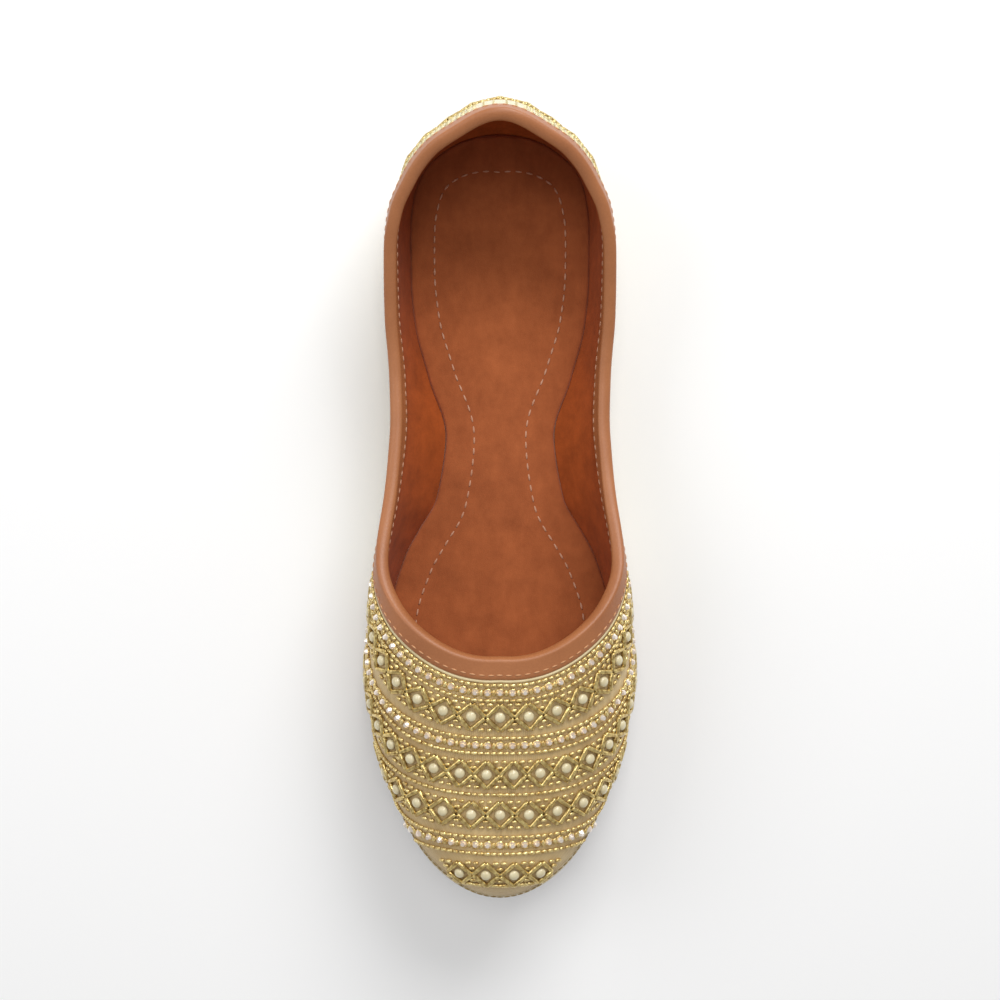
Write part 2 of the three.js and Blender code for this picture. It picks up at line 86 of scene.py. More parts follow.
# The toe rand's upper edge: at, then the share of its full height.
RAND = (
    (0.61, 0.24), (0.635, 0.29), (0.7, 0.34), (0.757, 0.385), (0.805, 0.41), (0.845, 0.56), (0.88, 0.77),
    (0.93, 0.87), (0.96, 0.84), (0.985, 0.68), (1.02, 0.6),
)


class Slot(Enum):
    """The record's material slots."""

    FABRIC = "upper_fabric"
    BINDING = "binding_leather"
    RAND = "rand_leather"
    SUEDE = "insole_suede"
    SOLE = "sole_leather"
    RUBBER = "sole_rubber"


# The last's skin


class Curve:
    """A smooth curve through (place, value) pairs that never overshoots, and is straight past its ends."""

    def __init__(self, pairs: Sequence[tuple[float, float]]) -> None:
        """Keeps the pairs and works out the slopes at them.

        Args:
            pairs: the places, rising, each with its value.
        """
        self.place = np.array([p[0] for p in pairs], float)
        self.value = np.array([p[1] for p in pairs], float)
        slope = np.diff(self.value) / np.diff(self.place)
        before, after = slope[:-1], slope[1:]
        total = np.where(before + after == 0, 1, before + after)
        inner = np.where(before * after > 0, 2 * before * after / total, 0)
        self.slope = np.concatenate([slope[:1], inner, slope[-1:]])

    def __call__(self, place: Array) -> Array:
        """The curve's values.

        Args:
            place: where to read it.

        Returns:
            The values, in the same shape.
        """
        place = np.asarray(place, float)
        k = np.clip(np.searchsorted(self.place, place) - 1, 0, len(self.place) - 2)
        span = self.place[k + 1] - self.place[k]
        u = np.clip((place - self.place[k]) / span, 0, 1)
        inside = (
            self.value[k] * (1 + 2 * u) * (1 - u) ** 2
            + self.slope[k] * span * u * (1 - u) ** 2
            + self.value[k + 1] * u * u * (3 - 2 * u)
            + self.slope[k + 1] * span * u * u * (u - 1)
        )
        before = np.minimum(place - self.place[0], 0) * self.slope[0]
        beyond = np.maximum(place - self.place[-1], 0) * self.slope[-1]
        return inside + before + beyond


def turn_of(at: Array) -> Array:
    """The turn, from 0 at the heel to 1 at the toe, of a share of the length."""
    return np.arccos(1 - 2 * np.asarray(at, float)) / math.pi


def at_of(turn: Array) -> Array:
    """The share of the length of a turn."""
    return (1 - np.cos(math.pi * turn)) / 2


def smooth(value: Array, low: float, high: float) -> Array:
    """A soft step from 0 at low to 1 at high."""
    u = np.clip((value - low) / (high - low), 0, 1)
    return u * u * (3 - 2 * u)


def unit(vectors: Array) -> Array:
    """The vectors at length 1."""
    return vectors / np.maximum(np.linalg.norm(vectors, axis=-1, keepdims=True), 1e-12)


def dot(a: Array, b: Array) -> Array:
    """The products of two lists of vectors."""
    return (a * b).sum(-1)


def bisect(test: Callable[[Array], Array], low: Array, high: Array) -> Array:
    """Finds where a rising test crosses 0.

    Args:
        test: gives a value for each place.
        low: places where it is below 0.
        high: places where it is above 0.

    Returns:
        The crossings, or high where there is none.
    """
    low, high = np.array(low, float), np.array(high, float)
    for _ in range(HALVINGS):
        middle = (low + high) / 2
        above = test(middle) > 0
        high = np.where(above, middle, high)
        low = np.where(above, low, middle)
    return high


PLAN_TURNS = turn_of(np.array([p[0] for p in PLAN]))
FOOT = Curve([(t, p[1]) for t, p in zip(PLAN_TURNS, PLAN)])
FULL = Curve([(t, p[2]) for t, p in zip(PLAN_TURNS, PLAN)])
LIFT, TREAD, ARCH, SPRING, SWELL, CROWN = (Curve([(s[0], s[k]) for s in SIDE]) for k in range(1, 7))
CLIMB = Curve(COLLAR)
RISE = Curve(RAND)
STITCH_INSET = Curve(STITCHES)


@dataclass(frozen=True)
class Last:
    """The skin that the whole upper is cut from, as a function of turn and row.

    The turn goes from 0 at the heel to 1 at the toe, and the row from 0 at the foot line to 1 at the spine.
    Past the heel, the toe or the spine the skin goes on down the other side.
    """

    length: float = 252.0
    heel_width: float = 70.0
    ball_width: float = 85.0
    instep_height: float = 56.5
    heel_height: float = 62.0
    side_height: float = 31.2
    toe_spring: float = 30.0
    arch_rise: float = 6.0
    heel_lift: float = 2.4
    tread_thickness: float = 1.6
    sole_thickness: float = 3.0
    binding_width: float = 6.0
    rand_height: float = 13.6
    heel_tuck: float = 5.0
    heel_lean: float = 17.0
    lean_power: float = 1.6
    toe_tuck: float = 1.5
    toe_round: float = 15.0
    end_power: int = 4
    squareness: float = 2.3
    throat_ease: float = 0.2
    ease_from: tuple[float, float] = (0.4, 0.55)
    ease_until: tuple[float, float] = (0.6, 0.71)
    swell_row: float = 0.3
    widening: tuple[float, float] = (0.3, 0.65)
    collar_low_at: float = 0.357
    binding_turn: tuple[float, float] = (0.56, 0.68)
    throat_span: tuple[float, float] = (0.6, 0.8)
    seam_span: tuple[float, float] = (0.4, 0.8)
    seam_foot: float = 148.2
    seam_level: float = 36.3
    seam_lean: float = 0.39
    probe: float = 4e-4
    stride: float = 0.7

    def half_width(self, at: Array) -> Array:
        """Half the width between heel and ball."""
        return (self.heel_width + (self.ball_width - self.heel_width) * smooth(at, *self.widening)) / 2

    def board_under(self, x: Array) -> Array:
        """The sole board's underside.

        Args:
            x: places from heel to toe.

        Returns:
            The heights.
        """
        at = np.asarray(x, float) / self.length
        under = (
            LIFT(at) * self.heel_lift
            + TREAD(at) * self.tread_thickness
            + ARCH(at) * self.arch_rise
            + SPRING(at) * self.toe_spring
        )
        return np.maximum(under, self.tread_thickness)

    def board_top(self, x: Array) -> Array:
        """The sole board's top."""
        return self.board_under(x) + self.sole_thickness

    def pad_under(self, x: Array) -> Array:
        """The heel pad's underside."""
        return np.maximum(self.board_under(x) - self.heel_lift, 0)

    def collar_height(self, x: Array) -> Array:
        """The collar's edge."""
        at = np.asarray(x, float) / self.length
        top = np.where(at < self.collar_low_at, self.heel_height, self.instep_height)
        return self.side_height + (top - self.side_height) * CLIMB(at)

    def binding_foot(self, x: Array) -> Array:
        """The binding's lower edge."""
        ahead = smooth(np.asarray(x, float) / self.length, *self.binding_turn)
        return self.collar_height(x - self.binding_width * ahead) - self.binding_width * (1 - ahead)

    def rand_top(self, x: Array) -> Array:
        """The toe rand's upper edge."""
        return self.board_top(x) + self.rand_height * RISE(np.asarray(x, float) / self.length)

    def seam_at(self, z: Array) -> Array:
        """How far from the heel the seam between quarter and vamp is at a height."""
        return self.seam_foot + (self.seam_level - z) * self.seam_lean

    def point(self, turn: Array, row: Array) -> Array:
        """Points of the skin.

        Args:
            turn: heel 0, toe 1, and on round either.
            row: foot line 0, spine 1, and on down the other side to 2.

        Returns:
            The points, with x from the heel's rearmost point.
        """
        turn, row = np.broadcast_arrays(np.asarray(turn, float), np.asarray(row, float))
        side = np.where(turn < 0, -1.0, 1.0) * np.where(turn > 1, -1.0, 1.0) * np.where(row > 1, -1.0, 1.0)
        turn = np.abs(turn)
        turn = np.where(turn > 1, 2 - turn, turn)
        row = np.where(row > 1, 2 - row, row)
        at = at_of(turn)
        half = self.half_width(at)
        foot, full = FOOT(turn) * half, FULL(turn) * half
        swell, crown = SWELL(at) * self.instep_height, CROWN(at) * self.instep_height
        board = self.board_top(self.length * at)
        up = row / self.swell_row
        out = up * (2 - up)
        angle = np.clip((row - self.swell_row) / (1 - self.swell_row), 0, 1) * math.pi / 2
        beside_throat = smooth(at, *self.ease_from) * (1 - smooth(at, *self.ease_until))
        power = 2 / (self.squareness - self.throat_ease * beside_throat)
        low = row <= self.swell_row
        y = np.where(low, foot + (full - foot) * out, full * np.maximum(np.cos(angle), 0) ** power)
        z = board + np.where(low, swell * up, swell + (crown - swell) * np.sin(angle) ** power)
        heel = np.where(low, self.heel_tuck * (1 - out), self.heel_lean * np.sin(angle) ** self.lean_power)
        toe = -self.toe_tuck - np.where(low, 0, self.toe_round * (1 - np.cos(angle)))
        x = self.length * at + heel * (1 - at) ** self.end_power + toe * at**self.end_power
        return np.stack([x, side * np.maximum(y, 0), z], -1)

    def tangents(self, turn: Array, row: Array) -> tuple[Array, Array, Array]:
        """How the skin runs.

        Args:
            turn: the places' turns.
            row: the places' rows.

        Returns:
            The change of the point with turn, its change with row, and the outward normal.
        """
        h = self.probe
        by_turn = (self.point(turn + h, row) - self.point(turn - h, row)) / (2 * h)
        by_row = (self.point(turn, row + h) - self.point(turn, row - h)) / (2 * h)
        return by_turn, by_row, unit(np.cross(by_row, by_turn))

    def lifted(self, turn: Array, row: Array, height: Array) -> Array:
        """Points at a height over the skin, or under it where that is below 0."""
        return self.point(turn, row) + self.tangents(turn, row)[2] * np.asarray(height, float)[..., None]

    def walk(self, turn: Array, row: Array, way: Array, distance: Array) -> tuple[Array, Array]:
        """Walks straight over the skin.

        Args:
            turn: the starts' turns.
            row: the starts' rows.
            way: the directions to leave in.
            distance: how far to go.

        Returns:
            The turns and rows of the ends.
        """
        steps = max(1, int(math.ceil(float(np.max(np.abs(distance))) / self.stride)))
        h = (np.zeros_like(turn) + distance) / steps
        for _ in range(steps):
            step_turn, step_row, way = self._step(turn, row, way, h / 2)
            step_turn, step_row, way = self._step(turn + step_turn, row + step_row, way, h)
            turn, row = turn + step_turn, row + step_row
        return turn, row

    def _step(self, turn: Array, row: Array, way: Array, distance: Array) -> tuple[Array, Array, Array]:
        """One short step.

        Args:
            turn: the starts' turns.
            row: the starts' rows.
            way: the directions to leave in.
            distance: how far to go.

        Returns:
            The changes of turn and row, and the ways as they lie on the skin there.
        """
        a, b, normal = self.tangents(turn, row)
        way = unit(way - normal * dot(way, normal)[..., None])
        aa, ab, bb = dot(a, a), dot(a, b), dot(b, b)
        wa, wb = dot(a, way) * distance, dot(b, way) * distance
        scale = np.maximum(aa * bb - ab * ab, 1e-9)
        return (bb * wa - ab * wb) / scale, (aa * wb - ab * wa) / scale, way

    def throat_turn(self) -> float:
        """The turn where the collar meets the spine.

        Returns:
            The turn.
        """
        ends = turn_of(np.array(self.throat_span))

        def beyond(turn: Array) -> Array:
            """Below 0 behind the throat."""
            p = self.point(turn, np.ones_like(turn))
            return self.collar_height(p[..., 0]) - p[..., 2]

        return float(bisect(beyond, ends[:1], ends[1:])[0])

    def row_under(self, turn: Array, level: Level) -> Array:
        """The rows where the skin reaches a level that depends on x, or 1 where it stays below.

        Args:
            turn: the places' turns.
            level: gives the height for an x.

        Returns:
            The rows.
        """

        def over(row: Array) -> Array:
            """Above 0 over the level."""
            p = self.point(turn, row)
            return p[..., 2] - level(p[..., 0])

        return bisect(over, np.zeros_like(turn), np.ones_like(turn))

    def seam_turn(self, row: Array, ahead: float = 0.0) -> Array:
        """The turns of the seam between quarter and vamp, or of a line that far ahead of it.

        Args:
            row: the places' rows.
            ahead: how far ahead of the seam the line is.

        Returns:
            The turns.
        """
        low, high = turn_of(np.array(self.seam_span))

        def past(turn: Array) -> Array:
            """Above 0 ahead of the seam."""
            p = self.point(turn, row)
            return p[..., 0] - self.seam_at(p[..., 2]) - ahead

        return bisect(past, np.full_like(row, low), np.full_like(row, high))


LAST = Last()
THROAT = LAST.throat_turn()


@dataclass
class Seats:
    """Places for beads and stitches: each has a point and three unit directions."""

    point: Array
    along: Array
    across: Array
    out: Array

    def lifted(self, height: float) -> "Seats":
        """The same places, higher over the skin."""
        return Seats(self.point + self.out * height, self.along, self.across, self.out)

    def kept(self, mask: Array) -> "Seats":
        """The places that a mask keeps."""
        return Seats(self.point[mask], self.along[mask], self.across[mask], self.out[mask])

    def turned(self, angle: Array) -> "Seats":
        """The same places, each turned about its own normal by an angle in radians."""
        angle = (np.zeros(len(self.point)) + angle)[:, None]
        along = self.along * np.cos(angle) + self.across * np.sin(angle)
        return Seats(self.point, along, np.cross(self.out, along), self.out)

    def zigzag(self, angle: float) -> "Seats":
        """The same places, turned left and right in turn by an angle in radians, like a chain's links."""
        even = np.arange(len(self.point)) % 2 == 0
        return self.turned(np.where(even, angle, -angle))

    @staticmethod
    def between(start: Array, end: Array, out: Array) -> "Seats":
        """Places half-way between pairs of points, facing along them."""
        along = unit(end - start)
        out = unit(out - along * dot(out, along)[:, None])
        return Seats((start + end) / 2, along, np.cross(out, along), out)

    @staticmethod
    def on_skin(turn: Array, row: Array, way: Array) -> "Seats":
        """Places on the skin that face the given ways, laid flat on it."""
        out = LAST.tangents(turn, row)[2]
        along = unit(way - out * dot(way, out)[:, None])
        return Seats(LAST.point(turn, row), along, np.cross(out, along), out)

    @staticmethod
    def joined(parts: Sequence["Seats"]) -> "Seats":
        """Several sets of places as one."""
        names = ("point", "along", "across", "out")
        return Seats(*(np.concatenate([getattr(part, name) for part in parts]) for name in names))


@dataclass
class Trace:
    """A line on the skin, as turns and rows, with the length along it in mm."""

    turn: Array
    row: Array
    length: Array = field(init=False)

    def __post_init__(self) -> None:
        """Measures the line."""
        points = LAST.point(self.turn, self.row)
        steps = np.linalg.norm(np.diff(points, axis=0), axis=1)
        self.length = np.concatenate([[0], np.cumsum(steps)])

    def centred(self) -> "Trace":
        """The same line, measured from its middle."""
        self.length = self.length - self.length[-1] / 2
        return self

    def place(self, length: Array) -> tuple[Array, Array]:
        """The turns and rows at lengths along the line."""
        return np.interp(length, self.length, self.turn), np.interp(length, self.length, self.row)

    def point(self, length: Array) -> Array:
        """The points at lengths along the line."""
        return LAST.point(*self.place(length))

    def seats(self, length: Array) -> Seats:
        """Places at lengths along the line.

        Args:
            length: the lengths.

        Returns:
            Places that face along the line, with their normals off the skin.
        """
        after, before = self.point(length + NEAR), self.point(length - NEAR)
        return Seats.on_skin(*self.place(length), unit(after - before))

    def run(self, pitch: float, half: bool = False) -> Array:
        """Even lengths along the line, with one at 0, or two that straddle it.

        Args:
            pitch: how far apart they are.
            half: whether two straddle 0.

        Returns:
            The lengths.
        """
        low, high = math.ceil(self.length[0] / pitch), math.floor(self.length[-1] / pitch)
        steps = np.arange(low, high + 1) + (0.5 if half else 0)
        lengths = steps * pitch
        return lengths[(lengths >= self.length[0]) & (lengths <= self.length[-1])]

    def paces(self, start: float, pitch: float) -> Array:
        """Even lengths from a start to the line's end."""
        return np.arange(start, self.length[-1], pitch)

    def shifted(self, distance: float) -> "Trace":
        """A line beside this one, to its left as seen from outside, with points about 1 mm apart.

        Args:
            distance: how far beside it, or below 0 for the right.

        Returns:
            The line.
        """
        count = int(self.length[-1] - self.length[0])
        lengths = np.linspace(self.length[0], self.length[-1], count)
        seats = self.seats(lengths)
        return Trace(*LAST.walk(*self.place(lengths), seats.across, distance))


# The bench: Blender's operators as the pieces use them


@dataclass
class Shape:
    """A small shape to copy: its corners and its faces."""

    corners: Array
    faces: list[list[int]]


class Bench:
    """Makes meshes with Blender's operators and hands pieces to the frame."""

    @staticmethod
    def activate(piece: bpy.types.Object) -> None:
        """Selects one piece alone and makes it active."""
        bpy.ops.object.select_all(action="DESELECT")
        piece.select_set(True)
        bpy.context.view_layer.objects.active = piece

    @staticmethod
    def grid(name: str, points: Array, cloth: Optional[Array] = None) -> bpy.types.Object:
        """A grid laid on points, whose faces look along the first index crossed with the second.

        Args:
            name: the piece's name.
            points: rows of points in mm.
            cloth: flat cloth places of the points in mm, kept as the UV map.

        Returns:
            The piece.
        """
        rows, columns = points.shape[:2]
        bpy.ops.object.select_all(action="DESELECT")
        bpy.ops.mesh.primitive_grid_add(x_subdivisions=rows - 1, y_subdivisions=columns - 1, size=1.0)
        piece = bpy.context.object
        piece.name = piece.data.name = name
        mesh = piece.data
        flat = np.empty(len(mesh.vertices) * 3)
        mesh.vertices.foreach_get("co", flat)
        flat = flat.reshape(-1, 3)
        i = np.rint((flat[:, 0] + 0.5) * (rows - 1)).astype(int)
        j = np.rint((flat[:, 1] + 0.5) * (columns - 1)).astype(int)
        placed = (points[i, j] - np.array([MIDDLE, 0, 0])) * MM
        mesh.vertices.foreach_set("co", placed.ravel())
        if cloth is not None:
            loops = np.empty(len(mesh.loops), int)
            mesh.loops.foreach_get("vertex_index", loops)
            layer = mesh.uv_layers.active or mesh.uv_layers.new(name="cloth")
            layer.name = "cloth"
            layer.data.foreach_set("uv", (cloth[i[loops], j[loops]] * MM).ravel())
        mesh.update()
        return piece

    @staticmethod
    def join(pieces: Sequence[bpy.types.Object], name: str) -> bpy.types.Object:
        """Joins pieces into the first one.

        Args:
            pieces: the pieces.
            name: the joined piece's name.

        Returns:
            The joined piece.
        """
        Bench.activate(pieces[0])
        for piece in pieces[1:]:
            piece.select_set(True)
        bpy.ops.object.join()
        joined = bpy.context.object
        joined.name = joined.data.name = name
        return joined

    @staticmethod
    def weld(piece: bpy.types.Object, outward: bool = True, distance: float = 4e-6) -> bpy.types.Object:
        """Merges doubled corners, and turns the faces outwards on a closed piece.

        Args:
            piece: the piece.
            outward: whether its faces are turned outwards.
            distance: how close doubled corners are, in metres.

        Returns:
            The same piece.
        """
        Bench.activate(piece)
        bpy.ops.object.mode_set(mode="EDIT")
        bpy.ops.mesh.select_all(action="SELECT")
        bpy.ops.mesh.remove_doubles(threshold=distance)
        if outward:
            bpy.ops.mesh.normals_make_consistent(inside=False)
        bpy.ops.object.mode_set(mode="OBJECT")
        return piece

    @staticmethod
    def modify(piece: bpy.types.Object, kind: str, **settings: object) -> bpy.types.Object:
        """Adds a modifier with these settings and applies it.

        Args:
            piece: the piece.
            kind: the modifier's type.
            **settings: its properties.

        Returns:
            The same piece.
        """
        Bench.activate(piece)
        modifier = piece.modifiers.new("shape", kind)
        for key, value in settings.items():
            setattr(modifier, key, value)
        bpy.ops.object.modifier_apply(modifier=modifier.name)
        return piece

    @staticmethod
    def wall(piece: bpy.types.Object, thickness: float) -> bpy.types.Object:
        """Gives an open sheet a wall of a thickness in mm, inwards from its faces."""
        return Bench.modify(piece, "SOLIDIFY", thickness=thickness * MM, offset=-1.0, use_rim=True)

    @staticmethod
    def soften(piece: bpy.types.Object, degrees: float = 50.0) -> bpy.types.Object:
        """Shades a piece smooth, except over sharper edges."""
        Bench.activate(piece)
        bpy.ops.object.shade_smooth_by_angle(angle=math.radians(degrees))
        return piece

    @staticmethod
    def take(piece: bpy.types.Object) -> Shape:
        """Reads a finished small piece as a shape in mm, and removes it.

        Args:
            piece: the small piece.

        Returns:
            The shape.
        """
        mesh = piece.data
        corners = np.array([piece.matrix_world @ v.co for v in mesh.vertices]) / MM
        faces = [list(p.vertices) for p in mesh.polygons]
        bpy.data.objects.remove(piece)
        bpy.data.meshes.remove(mesh)
        return Shape(corners, faces)

    @staticmethod
    def copies(
        name: str, shape: Shape, seats: Seats, scale: Array | Sequence[float], flat: bool = False
    ) -> bpy.types.Object:
        """One piece of many copies of a shape, one at each place.

        Args:
            name: the piece's name.
            shape: the shape, with x along, y across and z out.
            seats: the places.
            scale: three factors for each place, or for all.
            flat: whether its facets show.

        Returns:
            The piece.
        """
        count, size = len(seats.point), len(shape.corners)
        factor = np.broadcast_to(scale, (count, 3))
        local = shape.corners[None] * factor[:, None]
        corners = (
            seats.point[:, None]
            + local[..., 0:1] * seats.along[:, None]
            + local[..., 1:2] * seats.across[:, None]
            + local[..., 2:3] * seats.out[:, None]
        )
        corners = (corners - np.array([MIDDLE, 0, 0])) * MM
        sizes = np.array([len(f) for f in shape.faces])
        loops = np.concatenate([np.array(f) for f in shape.faces])
        mesh = bpy.data.meshes.new(name)
        mesh.vertices.add(count * size)
        mesh.loops.add(count * len(loops))
        mesh.polygons.add(count * len(sizes))
        mesh.vertices.foreach_set("co", corners.ravel())
        number = np.arange(count)[:, None]
        starts = np.concatenate([[0], np.cumsum(sizes)[:-1]])
        mesh.loops.foreach_set("vertex_index", (loops[None] + number * size).ravel())
        mesh.polygons.foreach_set("loop_start", (starts[None] + number * len(loops)).ravel())
        mesh.update(calc_edges=True)
        mesh.validate()
        mesh.polygons.foreach_set("use_smooth", np.full(len(mesh.polygons), not flat))
        piece = bpy.data.objects.new(name, mesh)
        bpy.context.collection.objects.link(piece)
        return piece

    @staticmethod
    def cord(name: str, seats: Seats, wide: float, high: float, closed: bool) -> bpy.types.Object:
        """A cord along places.

        Args:
            name: the piece's name.
            seats: places close together along the cord.
            wide: half its width in mm.
            high: half its height in mm.
            closed: whether it runs back into its start.

        Returns:
            The piece.
        """
        sides, tip = 10, 0.02
        angle = np.linspace(0, 2 * math.pi, sides + 1)[None, :, None]
        taper = np.ones((len(seats.point), 1, 1))
        if not closed:
            taper[[0, -1]] = tip
        ring = (
            seats.point[:, None]
            + seats.across[:, None] * (np.cos(angle) * wide) * taper
            + seats.out[:, None] * (np.sin(angle) * high) * taper
        )
        if closed:
            ring = np.concatenate([ring, ring[:1]])
        return Bench.soften(Bench.weld(Bench.grid(name, ring)), 80)

    @staticmethod
    def hand_over(piece: bpy.types.Object, material: bpy.types.Material, slot: Slot, *nodes: str) -> None:
        """Dresses a piece and gives it to the frame.

        Args:
            piece: the piece.
            material: its finish.
            slot: the record's slot, which is not used.
            nodes: the CAD nodes that it stands for.
        """
        piece.data.materials.clear()
        piece.data.materials.append(material)
        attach(piece, "root")
        if nodes:
            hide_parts(*nodes)
        log.info("%s: %d faces", piece.name, len(piece.data.polygons))

    @staticmethod
    def sew(
        name: str,
        shape: Shape,
        seats: Seats,
        scale: Array | Sequence[float],
        material: bpy.types.Material,
        slot: Slot = Slot.FABRIC,
    ) -> None:
        """Copies a bead or a stitch to its places, and hands the piece over.

        Args:
            name: the piece's name.
            shape: the bead or the stitch.
            seats: the places.
            scale: its length, width and height for each place, or for all.
            material: its finish.
            slot: the record's slot.
        """
        Bench.hand_over(Bench.copies(name, shape, seats, scale), material, slot)


# Finishes


def linear(colour: Rgb) -> tuple[float, float, float, float]:
    """A screen colour, 0 to 255, as the linear colour that a shader takes."""
    parts = [c / 255 for c in colour]
    r, g, b = (p / 12.92 if p <= 0.04045 else ((p + 0.055) / 1.055) ** 2.4 for p in parts)
    return (r, g, b, 1.0)


class Value:
    """A number in a material's nodes that takes part in sums."""

    def __init__(self, paint: "Paint", socket: bpy.types.NodeSocket) -> None:
        """Wraps an output socket."""
        self.paint, self.socket = paint, socket

    def _sum(self, operation: str, first: object, second: object, clamp: bool = False) -> "Value":
        """Adds one Math node."""
        settings = {"operation": operation, "use_clamp": clamp}
        node = self.paint.node("ShaderNodeMath", settings, {0: first, 1: second})
        return Value(self.paint, node.outputs[0])

    def __add__(self, other: object) -> "Value":
        """This plus another."""
        return self._sum("ADD", self, other)

    __radd__ = __add__

    def __sub__(self, other: object) -> "Value":
        """This minus another."""
        return self._sum("SUBTRACT", self, other)

    def __rsub__(self, other: object) -> "Value":
        """Another minus this."""
        return self._sum("SUBTRACT", other, self)

    def __mul__(self, other: object) -> "Value":
        """This times another."""
        return self._sum("MULTIPLY", self, other)

    __rmul__ = __mul__

    def held(self) -> "Value":
        """This, kept from 0 to 1."""
        return self._sum("ADD", self, 0.0, True)

    def wave(self) -> "Value":
        """The sine of this."""
        return self._sum("SINE", self, 0.0)


class Paint:
    """A material being made: one Principled shader and the nodes that feed it."""

    def __init__(self, name: str) -> None:
        """Starts a material.

        Args:
            name: its name.
        """
        self.material = bpy.data.materials.new(name)
        self.material.use_nodes = True
        self.tree = self.material.node_tree
        self.tree.nodes.clear()
        self.shader = self.node("ShaderNodeBsdfPrincipled", {}, {})
        self.node("ShaderNodeOutputMaterial", {}, {"Surface": self.shader.outputs[0]})
        self.place = self.node("ShaderNodeTexCoord", {}, {}).outputs["Object"]

    def node(self, kind: str, settings: dict[str, object], inputs: dict[object, object]) -> bpy.types.Node:
        """Any node.

        Args:
            kind: its type.
            settings: its properties, which are set first.
            inputs: values or links for its sockets, by name or number.

        Returns:
            The node.
        """
        made = self.tree.nodes.new(kind)
        for key, value in settings.items():
            setattr(made, key, value)
        for key, value in inputs.items():
            self._feed(made.inputs[key], value)
        return made

    def _feed(self, socket: bpy.types.NodeSocket, value: object) -> None:
        """Links a value to a socket, or sets it there where it is a plain number or colour.

        Args:
            socket: the socket.
            value: a link, a number or a colour.
        """
        value = value.socket if isinstance(value, Value) else value
        if isinstance(value, bpy.types.NodeSocket):
            self.tree.links.new(value, socket)
        else:
            socket.default_value = value

    def cloth(self) -> bpy.types.NodeSocket:
        """The flat cloth's places, in metres, from the piece's UV map."""
        return self.node("ShaderNodeUVMap", {"uv_map": "cloth"}, {}).outputs[0]

    def cloth_axes(self) -> tuple[Value, Value]:
        """The two parts of the flat cloth's places."""
        parts = self.node("ShaderNodeSeparateXYZ", {}, {0: self.cloth()})
        return Value(self, parts.outputs[0]), Value(self, parts.outputs[1])

    def noise(
        self,
        scale: float,
        detail: float = 3.0,
        roughness: float = 0.55,
        stretch: Sequence[float] = (1, 1, 1),
        uv: bool = False,
    ) -> Value:
        """Cloudy noise from 0 to 1.

        Args:
            scale: clouds in a metre.
            detail: how many finer layers it has.
            roughness: how strong they are.
            stretch: factors on the three axes.
            uv: whether it follows the flat cloth.

        Returns:
            The noise.
        """
        start = self.cloth() if uv else self.place
        moved = self.node("ShaderNodeMapping", {}, {"Vector": start, "Scale": tuple(stretch)}).outputs[0]
        inputs = {"Vector": moved, "Scale": scale, "Detail": detail, "Roughness": roughness}
        return Value(self, self.node("ShaderNodeTexNoise", {}, inputs).outputs["Fac"])

    def cells(self, scale: float) -> Value:
        """Distances to the middles of pebbly cells, with so many cells in a metre."""
        made = self.node("ShaderNodeTexVoronoi", {}, {"Vector": self.place, "Scale": scale})
        return Value(self, made.outputs["Distance"])

    def blend(self, factor: object, first: object, second: object) -> bpy.types.NodeSocket:
        """A colour between two, by a factor from 0 to 1."""
        made = self.node("ShaderNodeMix", {"data_type": "RGBA"}, {0: factor, 6: first, 7: second})
        return made.outputs[2]

    def tint(self, tone: Value, dark: Rgb, light: Rgb) -> bpy.types.NodeSocket:
        """A colour between two screen colours, by a tone from 0 to 1."""
        return self.blend(tone, linear(dark), linear(light))

    def relief(self, height: Value, depth: float, strength: float = 1.0) -> bpy.types.NodeSocket:
        """A bumped normal from a height of 0 to 1 that stands for a depth in mm."""
        inputs = {"Strength": strength, "Distance": depth * MM, "Height": height}
        return self.node("ShaderNodeBump", {}, inputs).outputs[0]

    def done(self, **inputs: object) -> bpy.types.Material:
        """Sets the shader's sockets, named with underscores for spaces, and gives the material."""
        for key, value in inputs.items():
            self._feed(self.shader.inputs[key.replace("_", " ")], value)
        return self.material


@dataclass(frozen=True)
class Brocade:
    """Satin cloth with a fine slanted weave, worn a little uneven."""

    name: str
    light: Rgb
    dark: Rgb
    weave: float = 0.55
    metallic: float = 0.0
    contrast: float = 1.0
    slant: float = 0.6
    streaks: float = 900.0
    clouds: float = 60.0
    depth: float = 0.16

    def material(self) -> bpy.types.Material:
        """Makes the finish.

        Returns:
            The material.
        """
        paint = Paint(self.name)
        along, across = paint.cloth_axes()
        turn = 2 * math.pi / (self.weave * MM)
        slant = (along * turn + across * (turn * self.slant)).wave() * 0.5 + 0.5
        thread = (across * turn).wave() * 0.5 + 0.5
        streaks = paint.noise(self.streaks, 4, 0.6, (0.25, 1, 1), uv=True)
        clouds = paint.noise(self.clouds)
        weave = slant * thread
        tone = ((clouds * 0.5 + streaks * 0.5 + weave * 0.3 - 0.65) * self.contrast + 0.5).held()
        return paint.done(
            Base_Color=paint.tint(tone, self.dark, self.light),
            Roughness=(0.62 - streaks * 0.2).held(),
            Metallic=self.metallic,
            Sheen_Weight=0.25,
            Normal=paint.relief(weave * 0.5 + streaks * 0.5, self.depth, 0.8),
        )


